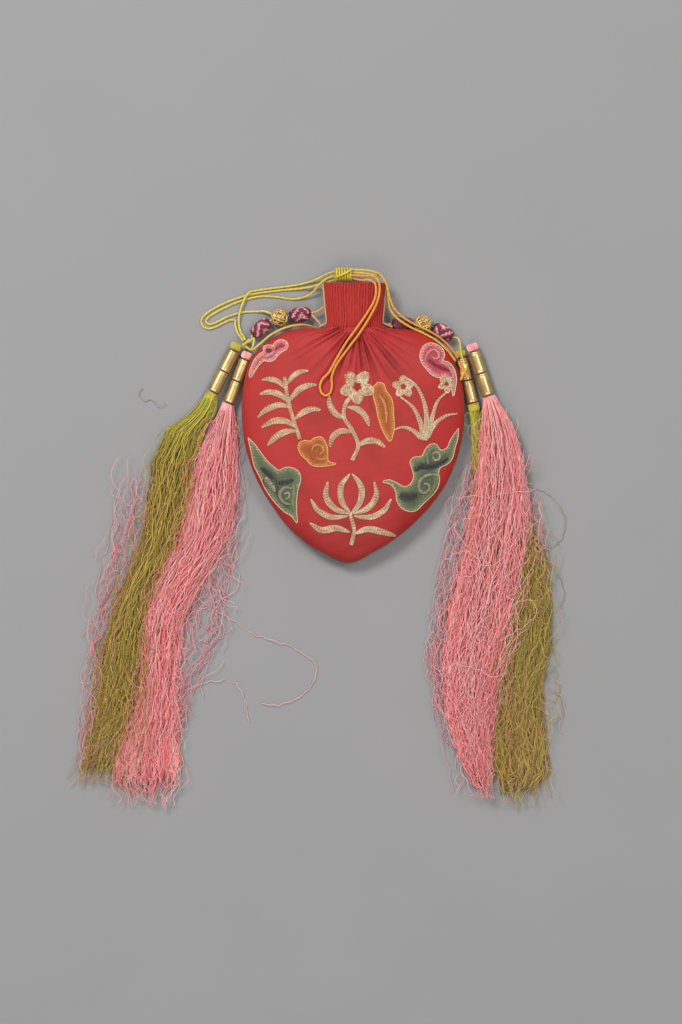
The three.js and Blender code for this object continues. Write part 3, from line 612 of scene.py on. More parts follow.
def inside_shape(points, outline):
    """Which points of the plan lie inside an outline."""
    x, y = points[:, 0], points[:, 1]
    hits = np.zeros(len(points), bool)
    ahead = np.roll(outline, -1, axis=0)
    for (x0, y0), (x1, y1) in zip(outline, ahead):
        crosses = (y0 > y) != (y1 > y)
        hits ^= crosses & (x < (x1 - x0) * (y - y0) / (y1 - y0 + 1e-12) + x0)
    return hits


def edge_distance(points, outline):
    """Distance to the outline and the direction away from it."""
    best = np.full(len(points), 1e9)
    away = np.zeros((len(points), 2))
    for start, end in zip(outline, np.roll(outline, -1, axis=0)):
        edge = end - start
        t = np.clip((points - start) @ edge / max(edge @ edge, 1e-9), 0, 1)
        gap = points - (start + t[:, None] * edge)
        distance = np.linalg.norm(gap, axis=1)
        nearer = distance < best
        best[nearer] = distance[nearer]
        away[nearer] = gap[nearer]
    return best, unit(away)


def stitches(build, middles, directions, lengths, tints, width=0.17, lift=0.12):
    """Short flat threads laid on the silk."""
    steps = np.linspace(-0.5, 0.5, 3)
    plan = middles[:, None] + directions[:, None] * (lengths[:, None, None] * steps[None, :, None])
    path = on_silk(plan, lift)
    path[:, 1, 2] += 0.08
    path[:, 0, 2] -= 0.10
    path[:, 2, 2] -= 0.10
    build.tubes(path, np.array([0.7, 1.0, 0.7]) * width, 3, tints, flat=0.75)


def ground(build, outline, tint, step=0.45, lift=0.1):
    """A thin sheet inside the outline, under its stitches."""
    low, high = outline.min(axis=0), outline.max(axis=0)
    gx, gy = np.meshgrid(np.arange(low[0], high[0], step), np.arange(low[1], high[1], step))
    points = np.stack([gx.ravel(), gy.ravel()], axis=1)
    inside = inside_shape(points, outline).reshape(gx.shape)
    i, j = np.nonzero(inside[:-1, :-1] & inside[1:, :-1] & inside[:-1, 1:] & inside[1:, 1:])
    corner = i * gx.shape[1] + j
    quads = np.stack([corner, corner + 1, corner + gx.shape[1] + 1, corner + gx.shape[1]], axis=1)
    used, quads = np.unique(quads, return_inverse=True)
    build.add(on_silk(points[used], lift), quads=quads.reshape(-1, 4), tint=tint)


def shaded_shape(build, outline, bands, pitch=0.42, length=1.15):
    """Long and short stitches from the outline inwards. Each band is (distance, tint)."""
    outline = spline(np.concatenate([outline, outline[:1]]), 160)[:-1]
    low, high = outline.min(axis=0), outline.max(axis=0)
    gx, gy = np.meshgrid(np.arange(low[0], high[0], pitch), np.arange(low[1], high[1], pitch * 1.7))
    points = np.stack([gx.ravel(), gy.ravel()], axis=1)
    points = points + rng.uniform(-0.16, 0.16, points.shape)
    points = points[inside_shape(points, outline)]
    ground(build, outline, bands[-1][1])
    distance, away = edge_distance(points, outline)
    keep = distance > 0.25
    points, distance, away = points[keep], distance[keep], away[keep]
    reach, tints = zip(*bands)
    shade = np.clip(distance + rng.normal(0, 0.16, len(distance)), reach[0], reach[-1])
    tint = between_places(shade, reach, tints)
    tint = tint * (1 + 0.10 * rng.standard_normal((len(tint), 1)))
    lean = 0.25 * rng.standard_normal(len(points))
    directions = np.stack([away[:, 0] * np.cos(lean) - away[:, 1] * np.sin(lean),
                           away[:, 0] * np.sin(lean) + away[:, 1] * np.cos(lean)], axis=1)
    stitches(build, points, directions, length * rng.uniform(0.8, 1.2, len(points)), tint)
    return outline


def laid_cord(build, plan, tint, radius=0.26, lift=0.2, closed=False, step=0.35):
    """A couched thread that follows a line of the plan."""
    plan = np.asarray(plan, float)
    if closed:
        plan = np.concatenate([plan, plan[:1]])
    total = length_of(plan)
    plan = spline(plan, max(6, int(total / step)))
    path = on_silk(plan, lift)
    beat = 1 + 0.14 * np.sin(np.arange(len(path)) * 1.9)
    # Painted highlight and shade: the cord is brighter where it swells between ties and darker where it
    # narrows
    shade = tint * (1 + 0.10 * np.sin(np.arange(len(path)) * 1.9)[:, None])
    build.tube(path, radius * beat, 6, shade, flat=0.8)


def laid_out(line, pitch, least):
    """A line's points in even steps, their shares of it, directions along and to the left, its length."""
    plan = place(line)
    total = length_of(spline(plan, 60))
    plan = spline(plan, max(least, int(total / pitch)))
    tangent = unit(np.gradient(plan, axis=0))
    side = np.stack([-tangent[:, 1], tangent[:, 0]], axis=1)
    return plan, np.linspace(0, 1, len(plan)), tangent, side, total


def satin_band(build, line, width, tints, taper=(1.0, 1.0), pitch=0.33, lift=0.16, rise=0.12):
    """Stitches laid side by side across a line; tints run from its right edge to its left one."""
    plan, along, tangent, side, _ = laid_out(line, pitch, least=5)
    lean = 0.22 * rng.standard_normal(len(plan))[:, None] + 0.25
    side = unit(side + lean * tangent)
    breadth = width * np.interp(along, [0, 0.25, 0.7, 1], [taper[0], 1, 1, taper[1]])
    u = np.linspace(-0.5, 0.5, 5)
    points = plan[:, None] + side[:, None] * (breadth[:, None, None] * u[None, :, None])
    path = on_silk(points, lift)
    path[..., 2] += rise * (1 - 4 * u[None] ** 2) + 0.03 * rng.standard_normal((len(plan), 1))
    shade = u[None] + 0.07 * rng.standard_normal((len(plan), 1))
    tint = between_places(shade, np.linspace(-0.5, 0.5, len(tints)), tints)
    build.tubes(path, 0.19, 3, tint * (1 + 0.09 * rng.standard_normal((len(plan), 1, 1))))


SAGE = colour(146, 150, 92)
PALE_SAGE = colour(204, 184, 142)
GREEN = colour(122, 136, 92)
NAVY = colour(58, 50, 60)
GREY_GREEN = colour(156, 156, 126)
PINK_PALE = colour(240, 196, 190)
PINK_MID = colour(220, 104, 114)
PLUM = colour(126, 30, 60)
ROSE_SILK = colour(196, 66, 82)
OCHRE = colour(214, 130, 44)
OCHRE_PALE = colour(226, 172, 96)
OCHRE_DEEP = colour(176, 84, 24)
CREAM = colour(224, 184, 156)
SALMON = colour(226, 132, 116)
CRIMSON = colour(176, 30, 44)
DUSK = colour(176, 150, 156)
DEEP_GREEN = colour(88, 100, 70)
STONE = colour(158, 150, 136)
# Tints from the edge inwards, each with its distance from the edge
GREEN_BANDS = [(0.2, PALE_SAGE), (0.7, GREY_GREEN), (1.6, GREEN), (3.4, DEEP_GREEN), (6, DEEP_GREEN)]
PINK_BANDS = [(0.2, CREAM), (0.7, PINK_PALE), (1.5, PINK_MID), (2.6, ROSE_SILK), (6, ROSE_SILK)]
OCHRE_BANDS = [(0.25, OCHRE_PALE), (1.0, OCHRE), (2.0, OCHRE_DEEP), (6, OCHRE_DEEP)]
# Name, bands, edge and outline in the photograph
CLOUDS = [
    ("left green", GREEN_BANDS, PALE_SAGE, [
        (248.4, 438), (254.6, 444), (261, 452.5), (267, 460.5), (273, 466), (279.6, 470.6), (284, 468.6),
        (289, 467.6), (296, 469.6), (300.4, 474.6), (301, 481), (298.6, 489), (297, 500), (297, 512),
        (297.4, 523), (292, 516.4), (285, 512), (278, 505.6), (271.6, 498), (265.6, 489), (260.6, 478),
        (254.6, 466), (251.6, 452)]),
    ("right green", GREEN_BANDS, PALE_SAGE, [
        (458, 428.7), (457.6, 437), (454.6, 448), (451.6, 459), (446.6, 464.6), (440, 468), (438, 473),
        (439, 479), (437.6, 487), (433, 494), (424, 502.6), (416, 510.4), (409, 511.6), (401, 508),
        (396.4, 501), (395, 491.6), (390.5, 485), (382.3, 482.2), (388.5, 480.2), (396, 483), (404, 487),
        (409.6, 484.4), (413, 477.6), (411.4, 469), (409.4, 462.4), (413, 458), (421, 456.6),
        (424.6, 450), (429, 445.4), (435, 444.6), (440.5, 450.6), (446.6, 448), (449.6, 441)]),
    ("left pink", PINK_BANDS, CREAM, [
        (273, 346.4), (276, 342.6), (281, 340.6), (286, 342), (288.4, 346), (286.8, 350.4), (282, 353.4),
        (278.4, 356.6), (274.6, 361), (269.6, 362.6), (264.4, 361.8), (260, 365.4), (256, 371),
        (251, 378), (249.6, 376.4), (251.4, 368), (255, 360), (260, 354.6), (264, 352), (263.6, 347.6),
        (268.4, 345.8)]),
    ("right pink", PINK_BANDS, CREAM, [
        (420, 352), (423.6, 346.6), (430, 343.8), (437, 345.4), (442.6, 350), (444.2, 356.4),
        (442.6, 361.4), (448, 363), (452.6, 367.6), (455, 373), (456, 380), (455, 388), (452.8, 397),
        (450.4, 387), (448, 380), (444, 377.4), (438, 378.6), (431.6, 376), (426, 370.4), (421.6, 365),
        (419.4, 358.4)]),
    ("ochre", OCHRE_BANDS, OCHRE_PALE, [
        (298.4, 449.5), (299.3, 444), (304.6, 441.2), (310.6, 441.8), (314.5, 438.8), (321.6, 438),
        (325.4, 442.6), (327.6, 448), (328, 455.7), (328.6, 461.6), (336, 464.4), (327, 466.4),
        (319.8, 467), (311.8, 465.5), (306.8, 460.4), (302, 456)]),
    ("ochre leaf", OCHRE_BANDS, OCHRE_PALE, [
        (377.6, 383.4), (373, 389), (373, 397), (375.6, 407), (378, 419), (382.6, 432), (389.6, 442),
        (393.4, 431.6), (393.2, 415), (391.6, 401), (386, 392), (383, 385)]),
]
build = Build()
for _, bands, edge, outline in CLOUDS:
    plan = shaded_shape(build, place(outline), bands)
    laid_cord(build, plan, edge, radius=0.24, closed=True)
# Line in the photograph, width in mm, tints from right to left and width shares at both ends
BANDS = [
    # curls and hollows of the two pink scrolls
    ([(424, 362), (427, 354), (433, 350), (438, 353), (438.4, 358), (434, 360), (431, 357)],
     1.3, (CREAM, PINK_MID), (.5, .5)),
    ([(428, 361), (434, 365.4), (441, 369), (448, 371.4)], 1.6, (CRIMSON, PLUM), (.5, .5)),
    ([(440, 364), (447, 367), (451.4, 373), (453, 381), (453, 389)],
     1.2, (PINK_MID, PINK_PALE), (.5, .3)),
    ([(275.6, 349.4), (280, 346), (284.4, 346.6)], 1.8, (CRIMSON, PINK_MID), (.6, .6)),
    ([(266.4, 351), (271.6, 351.4)], 1.6, (PLUM, PLUM), (.8, .8)),
    ([(266, 357.4), (271, 355.6), (275, 352.6)], 1.4, (DUSK, PINK_PALE), (.6, .6)),
    ([(262, 358), (257.4, 363), (253.6, 370)], 1.0, (SALMON, PINK_MID), (.6, .3)),
    # dark hollows, stone-coloured folds and pale curls of the green scroll on the left
    ([(262, 468), (268, 473), (274, 478)], 2.6, (NAVY, NAVY, DEEP_GREEN), (.5, .8)),
    ([(279, 482), (286, 481.4), (293, 480)], 3.0, (NAVY, NAVY, GREEN), (.8, .5)),
    ([(266, 462), (272, 467.6), (279, 474.6)], 1.7, (GREEN, STONE, STONE), (.4, .8)),
    ([(265, 478), (270, 484), (275, 492)], 2.8, (GREEN, STONE, PALE_SAGE), (.7, .4)),
    ([(294, 484), (294.6, 493), (293.6, 503), (294.6, 512)], 1.9, (SAGE, GREEN), (.5, .4)),
    ([(291.4, 488.6), (285.6, 488), (281, 492), (280.8, 498.4), (285, 503), (291, 504.6)],
     1.5, (PALE_SAGE, STONE, GREY_GREEN), (.6, .5)),
    ([(285, 494), (289, 493), (289.6, 497), (286, 499)], 1.1, (STONE, PALE_SAGE), (.7, .7)),
    # and of the one on the right
    ([(414, 470), (421, 466.4), (431, 466.6), (440, 463), (447, 458.6)],
     3.0, (NAVY, NAVY, DEEP_GREEN), (.7, .5)),
    ([(400, 495), (408, 497.4), (416, 495)], 4.4, (DEEP_GREEN, NAVY, NAVY, DEEP_GREEN), (.6, .6)),
    ([(432.4, 454), (436, 452.4), (439.4, 455.4), (438.4, 459.6), (434.4, 460.6), (432, 457.6)],
     1.1, (PALE_SAGE, STONE), (.7, .7)),
    ([(427.4, 464), (426.4, 456), (429, 450), (434, 448)], 1.5, (GREY_GREEN, GREEN), (.5, .5)),
    ([(437, 475.4), (430, 475), (422.4, 478), (418.6, 484.4), (419.8, 491), (424.6, 493),
      (428.8, 489.6), (427.6, 484.6), (423.6, 484)], 1.4, (PALE_SAGE, STONE, GREY_GREEN), (.5, .5)),
    ([(434, 479), (434.4, 486), (430, 494), (421, 502)], 1.4, (SAGE, GREEN), (.5, .5)),
    # ochre curls
    ([(312, 451), (315, 446), (321, 446), (324, 451), (320, 455)], 1.3, (OCHRE_PALE, OCHRE), (.5, .5)),
    ([(316, 458), (322, 460), (328, 457)], 1.2, (OCHRE_PALE, OCHRE), (.3, .3)),
    ([(379, 396), (384, 404), (386, 414), (386, 424)], 1.5, (OCHRE_PALE, OCHRE), (.3, .3)),
]
for line, width, tints, taper in BANDS:
    satin_band(build, line, width, tints, taper, lift=0.4)
for line in ([(276, 478), (277.4, 486), (277.4, 495), (281.6, 502), (288.6, 508)],
             [(266, 476), (263.6, 482), (267.6, 488)]):
    laid_cord(build, place(line), NAVY, radius=0.2, lift=0.5)
build.finish("coloured_stitches", thread)

# Motifs of couched gold thread. Each stroke is (line, full width in mm, shape)

GOLD = colour(226, 186, 134)
GOLD_PALE = colour(255, 232, 196)
GOLD_WORN = colour(172, 108, 66)
# Width of one laid thread and the distance between the stitches that tie them down
LAID_WIDTH, TIE_PITCH = 0.46, 1.15


def width_along(shape, share):
    """Share of a stroke's full width at shares of its length."""
    if shape == "leaf":
        return np.sin(np.pi * np.clip(share, 0, 1)) ** 0.6 * 0.92 + 0.08
    if shape == "blade":
        return np.clip(1.1 * (1 - share), 0.1, 1) ** 0.6 * np.clip(share * 9, 0.3, 1)
    return np.ones_like(share)


def gold_stroke(build, line, width, shape="stem"):
    """Gold threads laid side by side along a line and tied down by cross stitches."""
    plan, along, _, side, total = laid_out(line, pitch=0.45, least=8)
    breadth = width_along(shape, along) * width
    threads = max(2, int(round(width / LAID_WIDTH)))
    beat = np.sin(np.arange(len(plan)) * 2.4)
    for k in range(threads):
        across = (k + 0.5) / threads - 0.5
        line_plan = plan + side * (across * breadth)[:, None]
        path = on_silk(line_plan, 0.2)
        tint = GOLD + (GOLD_PALE - GOLD) * rng.uniform(0, 1)
        worn = np.clip(0.5 + 0.5 * np.sin(along * total * 0.9 + k * 2 + rng.uniform(0, 6)), 0, 1)[:, None]
        tint = tint + (GOLD_WORN - tint) * worn * 0.5
        # Painted highlight and shade: each gold thread is brighter where it swells and darker where it
        # narrows
        tint = tint * (1 + 0.22 * beat[:, None])
        radius = np.clip(breadth / threads * 0.5, 0.1, 0.27) * (1 + 0.10 * beat)
        build.tube(path, radius, 4, tint, flat=0.8)
    ties = np.arange(1, int(total / TIE_PITCH)) * TIE_PITCH / total
    middles = between_places(ties, along, plan)
    sides = unit(between_places(ties, along, side))
    spans = np.interp(ties, along, breadth) + 0.3
    if len(ties):
        tints = np.tile(GOLD_PALE * 0.95, (len(ties), 1))
        stitches(build, middles, sides, spans, tints, width=0.12, lift=0.5)


def petals(build, centre, size, count, turn_start=0.0):
    """A round blossom of gold petals about a centre pixel."""
    for k in range(count):
        angle = turn_start + 2 * math.pi * k / count
        away = np.array([math.cos(angle), math.sin(angle)])
        aside = np.array([-away[1], away[0]])
        line = [np.array(centre) + away * size * r + aside * size * b
                for r, b in ((0.28, 0), (0.62, -0.20), (0.98, 0.0), (0.62, 0.20), (0.30, 0.03))]
        gold_stroke(build, line, size * 0.20, "stem")


STROKES = [
    # bamboo on the left
    ([(300.4, 440), (298, 433), (293, 418), (288, 398), (285, 378)], 1.7, "stem"),
    ([(297.6, 432), (288, 432), (277, 437), (268, 446)], 2.9, "leaf"),
    ([(296, 428), (286, 422), (274, 422), (262, 428)], 2.9, "leaf"),
    ([(291, 408), (280, 406), (268, 410), (258, 418)], 2.7, "leaf"),
    ([(290, 404), (281, 396), (270, 393), (260, 395)], 2.7, "leaf"),
    ([(287, 390), (279, 383), (270, 380), (262, 381)], 2.4, "leaf"),
    ([(295, 420), (304, 413), (313, 410), (321, 411)], 2.7, "leaf"),
    ([(290, 402), (298, 392), (307, 387), (317, 386)], 2.7, "leaf"),
    ([(287, 386), (293, 378), (301, 373), (309, 372)], 2.4, "leaf"),
    # a gourd vine in the middle
    ([(352, 461), (358, 446), (352, 431), (344, 418), (346, 404), (355, 395)], 1.7, "stem"),
    ([(356, 448), (366, 442), (376, 442), (385, 448)], 2.8, "leaf"),
    ([(352, 433), (341, 432), (333, 438), (330, 448)], 2.8, "leaf"),
    ([(346, 420), (336, 415), (330, 406), (329, 396)], 2.7, "leaf"),
    ([(347, 408), (357, 410), (365, 417), (369, 427)], 2.7, "leaf"),
    # an orchid on the right
    ([(423, 441), (420, 424), (412, 408), (400, 398)], 2.6, "blade"),
    ([(424, 441), (426, 422), (423, 402), (414, 385), (404, 378)], 2.6, "blade"),
    ([(425, 441), (433, 426), (444, 417), (457, 414)], 2.6, "blade"),
    ([(425, 440), (431, 420), (437, 402), (447, 392)], 2.4, "blade"),
    ([(423, 441), (413, 432), (402, 428), (393, 431)], 2.4, "blade"),
    # a lotus at the bottom
    ([(351, 545), (354, 530), (350, 514)], 1.8, "stem"),
    ([(351, 514), (342, 502), (341, 487), (350, 474)], 2.8, "leaf"),
    ([(351, 514), (360, 502), (361, 487), (352, 474)], 2.8, "leaf"),
    ([(349, 514), (334, 508), (326, 496), (328, 482)], 2.8, "leaf"),
    ([(353, 514), (368, 508), (376, 496), (374, 482)], 2.8, "leaf"),
    ([(348, 516), (331, 517), (318, 510), (311, 499)], 2.6, "leaf"),
    ([(354, 516), (371, 517), (384, 510), (391, 499)], 2.6, "leaf"),
    ([(350, 532), (336, 528), (322, 530), (310, 523)], 3.0, "leaf"),
    ([(354, 534), (368, 529), (382, 532), (396, 536)], 3.0, "leaf"),
]
build = Build()
for line, width, shape in STROKES:
    gold_stroke(build, line, width, shape)
petals(build, (357, 388), size=15, count=5, turn_start=0.3)
petals(build, (403, 388), size=10, count=5, turn_start=0.9)
petals(build, (446, 385), size=8, count=5, turn_start=0.2)
build.finish("gold_couching", gold)

# The piping of the neck keeps its CAD form

for side in ("left", "right"):
    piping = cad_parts["neck_piping_" + side]
    piping.data.materials.clear()
    piping.data.materials.append(cream)

# Knots of cord

KNOT_MIDDLE = -3.8


def coil(centre, across, up, drift, turns, count):
    """Points of a coil round a centre that drifts along."""
    angle = np.linspace(0, turns * 2 * math.pi, count)
    return np.array(centre) + round_axis(angle, across, up) + (angle / angle[-1])[:, None] * drift


build = Build()
top_coil = coil((-7.1, 76.2, 7.6), (0, 2.7, 0), (0, 0, 2.7), (6.7, 0, 0), turns=5.5, count=120)
twisted(build, top_coil, YELLOW, colour(214, 190, 70))
twisted(build, [(-7.6, 74.6, 9.6), (-5.6, 75.4, 11.1), (-3.4, 76.4, 11.6), (-1.2, 77.6, 11), (.2, 78.6, 9)],
        YELLOW, PALE_YELLOW)
# The ends of the cords that meet in the top knot
for name, route in ROUTES.items():
    for x, y, z in (route[0], route[-1]):
        if abs(x - KNOT_MIDDLE) < 5:
            inward = math.copysign(0.9, KNOT_MIDDLE - x)
            stub = [(x - inward * 0.2, y, z), (x + inward, y, z), (x + 2 * inward, y, z)]
            twisted(build, stub, CORD_TINTS[name][0], YELLOW)
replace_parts(build.finish("wound_top_knot", cord_silk), "top_knot")

build = Build()
twisted(build, [(-49.0, 44.6, 3.4), (-46.4, 46.4, 4.8), (-44.2, 47.8, 5.2), (-44.3, 45.6, 5.4),
                (-45.4, 42.6, 5.2), (-47.4, 43.8, 4.6), (-49.3, 45.6, 3.8)], PALE_YELLOW, YELLOW)
left_coil = coil((-48.2, 45.2, 3.6), (1.2, 1.12, 0), (0, 0, 1.5), (0.503, 0.905, 0), turns=3.2, count=80)
twisted(build, left_coil, YELLOW, YELLOW)
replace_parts(build.finish("left_bow_knot", cord_silk), "left_tassel_knot")

build = Build()
twisted(build, [(47.8, 37.0, 10.2), (48.6, 34.6, 11.6), (50.6, 32.2, 12.2), (51.5, 29.8, 11.4)],
        ORANGE, AMBER)
twisted(build, [(51.3, 36.0, 10.6), (51.0, 33.6, 11.8), (49.6, 31.2, 12), (48.8, 28.8, 10.8)],
        AMBER, PALE_YELLOW)
right_coil = coil((50.2, 31, 10.2), (1.3, 0, 0), (0, 0, 1.3), (0, 2.6, 0), turns=3, count=70)
twisted(build, right_coil, AMBER, YELLOW)
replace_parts(build.finish("right_crossed_knot", cord_silk), "right_tassel_knot")

# Beads of wound silk and of plaited gold thread

TAN = colour(214, 160, 104)
MAROON = colour(112, 28, 54)
WINE = colour(84, 18, 44)
WHITE_PINK = colour(238, 200, 204)
# A painted highlight on the plaited gold thread
BEAD_GOLD_HIGHLIGHT = colour(240, 206, 128)
BEAD_GOLD_DARK = colour(196, 154, 84)
BEADS = {
    # x, y, heading, kind, phase of its pattern
    "left_bead_inner": (-23.4, 58.6, 187, "silk", 0.2),
    "left_bead_gold": (-32.6, 57.2, 196, "gold", 0.0),
    "left_bead_outer": (-41.0, 52.4, 218, "silk", 0.6),
    "right_bead_inner": (22.8, 54.3, 0, "dark", 0.1),
    "right_bead_gold": (32.1, 54.1, -10, "gold", 1.0),
    "right_bead_outer": (41.0, 50.8, -29, "silk", 0.4),
}
BEAD_Z = 4.1


def axes_along(heading):
    """The direction of a heading in degrees, the one to its left and the one up."""
    angle = math.radians(heading)
    axis = np.array([math.cos(angle), math.sin(angle), 0])
    return axis, np.array([-axis[1], axis[0], 0]), np.array([0, 0, 1.0])


def silk_bead(build, centre, heading, phase, dark):
    """Threads wound lengthways over a core, in slanting bands of pink and white."""
    axis, side, up = axes_along(heading)
    along = np.linspace(-0.985, 0.985, 26)[:, None]
    half_length, threads = 4.95, 38
    radius = 2.62 * (1 - np.abs(along) ** 2.8) ** 0.5 + 0.35
    for k in range(threads):
        angle = 2 * math.pi * (k / threads) + along * 0.55
        path = centre + along * half_length * axis + radius * round_axis(angle[:, 0], side, up)
        band = 4 * (angle / (2 * math.pi)) + 1.3 * np.abs(along + 0.15)
        band = (band + 0.08 * rng.standard_normal() + phase) % 1
        if dark:
            tint = np.where(band < 0.14, PINK_MID * 0.6, MAROON)
        else:
            tint = np.where(band < 0.15, WHITE_PINK * 0.8, np.where(band < 0.36, PINK_MID, MAROON))
        tint = np.where(np.abs(along) > 0.8, WINE, tint)
        tint = tint * (0.85 + 0.3 * rng.random())
        build.tube(path, 0.27, 5, tint)
    profile = np.concatenate([along * half_length, radius - 0.12], axis=1)
    profile = np.concatenate([[(-half_length, 0.4)], profile, [(half_length, 0.4)]])
    # The core shows between the threads in a darker maroon, as painted shade in the gaps
    turn(profile, centre, axis, 20, build, MAROON * 0.6)


def gold_bead(build, centre, heading, phase):
    """A round plait of doubled gold thread, four strands wide."""
    axis, side, up = axes_along(heading)
    t = np.linspace(0, 2 * math.pi, 340)
    for offset in (-0.085, 0.085):
        swing = np.cos(5 * t) * 0.98
        lat = np.clip(swing + offset * np.sin(5 * t) * 0.8, -1, 1) * 1.12
        angle = 4 * t + phase + offset * 1.6
        over = 0.26 * np.sin(15 * t + 0.6)
        radius = (3.4 + over) * np.cos(lat) ** 0.8 + 0.2
        run = 3.25 * np.sin(lat) / np.sin(1.12)
        path = centre + run[:, None] * axis + radius[:, None] * round_axis(angle, side, up)
        # Painted highlight: along each strand the gold alternates with a lighter highlight gold
        beat = 0.5 + 0.5 * np.sin(t * 260)
        tint = BEAD_GOLD_DARK + (BEAD_GOLD_HIGHLIGHT - BEAD_GOLD_DARK) * beat[:, None]
        build.tube(path, 0.42, 6, tint)
    profile = [(-3.4, 0.5), (-3.0, 1.7), (-1.8, 2.8), (0, 3.1), (1.8, 2.8), (3.0, 1.7), (3.4, 0.5)]
    # The core shows between the strands in a darker gold, as painted shade in the gaps
    turn(profile, centre, axis, 20, build, BEAD_GOLD_DARK * 0.7)


for name, (x, y, heading, kind, phase) in BEADS.items():
    build = Build()
    centre = np.array([x, y, BEAD_Z])
    if kind == "gold":
        gold_bead(build, centre, heading, phase)
        bead = build.finish("plaited_" + name, gold)
    else:
        silk_bead(build, centre, heading, phase, kind == "dark")
        bead = build.finish("wound_" + name, thread)
    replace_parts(bead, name)

build = Build()
left_line = [(-12.4, 62.2, 5.6), (-15.0, 60.2, 4.6), (-18.4, 59.2, 4.2), (-23.4, 58.6, 4.1),
             (-28.3, 57.9, 4.1), (-32.6, 57.2, 4.1), (-36.4, 55.9, 4.1), (-41.0, 52.4, 4.1),
             (-45.4, 48.5, 4.1)]
twisted(build, left_line, AMBER, PALE_YELLOW, diameter=1.0)
twisted(build, [(-18.2, 58.6, 4.6), (-16.6, 56.8, 4.8), (-14.8, 54.6, 5.2), (-13.4, 52.6, 5.6)], TAN, TAN,
        diameter=1.2)
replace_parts(build.finish("left_bead_cord", cord_silk), "left_bead_thread")
build = Build()
right_line = [(16.2, 54.3, 4.1), (22.8, 54.3, 4.1), (28.0, 54.5, 4.1), (32.1, 54.1, 4.1), (36.2, 53.2, 4.1),
              (41.0, 50.8, 4.1), (45.6, 48.4, 4.1), (47.4, 47.9, 4.5), (48.5, 45.6, 5.5), (48.8, 42.0, 6.6),
              (49.4, 39.0, 8.0), (50.4, 36.2, 9.7)]
twisted(build, right_line, AMBER, PALE_YELLOW * 0.9, diameter=1.0)
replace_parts(build.finish("right_bead_cord", cord_silk), "right_bead_thread")

# Tassels

PINK = colour(255, 138, 139)
PINK_LIGHT = colour(255, 200, 194)
PINK_DEEP = colour(242, 102, 114)
OLIVE_LIGHT = colour(219, 188, 74)
OLIVE_DEEP = colour(144, 120, 26)
YELLOW_GREEN = colour(184, 180, 44)
MAUVE = colour(226, 168, 178)
PEACH = colour(228, 158, 110)
FERRULE_RADIUS, FERRULE_LENGTH = 2.95, 10.1
# Where the silk comes out of the lower ferrule: its distance past the two ferrules and its radius
ROOT_GAP, ROOT_RADIUS = 0.9, 2.5
# Radii of the thick strands inside a skirt, of its curls and strays, and of the fluff beside it
CORE_RADIUS, STRAND_RADIUS, FLUFF_RADIUS = 0.95, 0.14, 0.13
TASSELS = {
    # place of the upper ferrule's top, heading, kind, height of the skirt
    "left_green": ((-53.3, 42.1, 3.15), -116.7, "green", 7.6),
    "left_pink": ((-48.2, 38, 3.15), -110.9, "pink", 7.8),
    "right_green": ((49.2, 38.7, 3.15), -75.4, "green", 4.8),
    "right_pink": ((54.9, 41.6, 4.4), -71.6, "pink", 8),
}
KNOB_TINTS = {"green": (YELLOW_GREEN, OLIVE_LIGHT), "pink": (PINK, PINK_LIGHT)}
# Painted shade: shares that darken the thick strands inside a skirt and the strands deep within it
CORE_SHADE = {"green": 0.8, "pink": 0.95}
INNER_SHADE = {"green": 0.84, "pink": 0.95}
# Strands in each band of fluff, and the share and tint of those that differ
FLUFF_STRANDS = {"green": 26, "pink": 40}
OTHER_SHARE = {"green": 0.55, "pink": 0.4}
OTHER_TINT = {"green": PEACH, "pink": MAUVE}
# Each skirt's edges in the photograph: the row, then the left and the right edge
SKIRTS = {
    "left_green": [
        (397, 204, 217), (412, 191, 217), (430, 165, 206), (460, 152, 196), (490, 148, 189), (520, 145, 181),
        (545, 141, 174), (570, 131, 162), (600, 118, 149), (640, 106, 143), (680, 101, 138), (715, 96, 131),
        (745, 88, 123), (775, 80, 110)],
    "left_pink": [
        (408, 220, 233), (420, 214, 236), (440, 203, 238), (470, 192, 238), (500, 185, 237), (530, 177, 231),
        (560, 166, 216), (590, 151, 197), (620, 142, 184), (650, 140, 180), (690, 138, 178), (730, 124, 178),
        (760, 112, 178), (785, 112, 177), (797, 122, 166)],
    "right_green": [
        (408, 469, 480), (430, 472, 482), (460, 473, 484), (500, 476, 512), (530, 485, 534), (560, 494, 546),
        (600, 500, 551), (640, 500, 551), (680, 494, 543), (710, 492, 542), (740, 492, 546), (775, 494, 549),
        (797, 502, 533)],
    "right_pink": [
        (401, 484, 497), (415, 481, 508), (435, 480, 517), (465, 477, 524), (495, 473, 529), (525, 467, 530),
        (560, 460, 527), (590, 455, 521), (620, 449, 513), (660, 443, 505), (700, 446, 498), (730, 452, 494),
        (760, 462, 492), (790, 476, 491)],
}
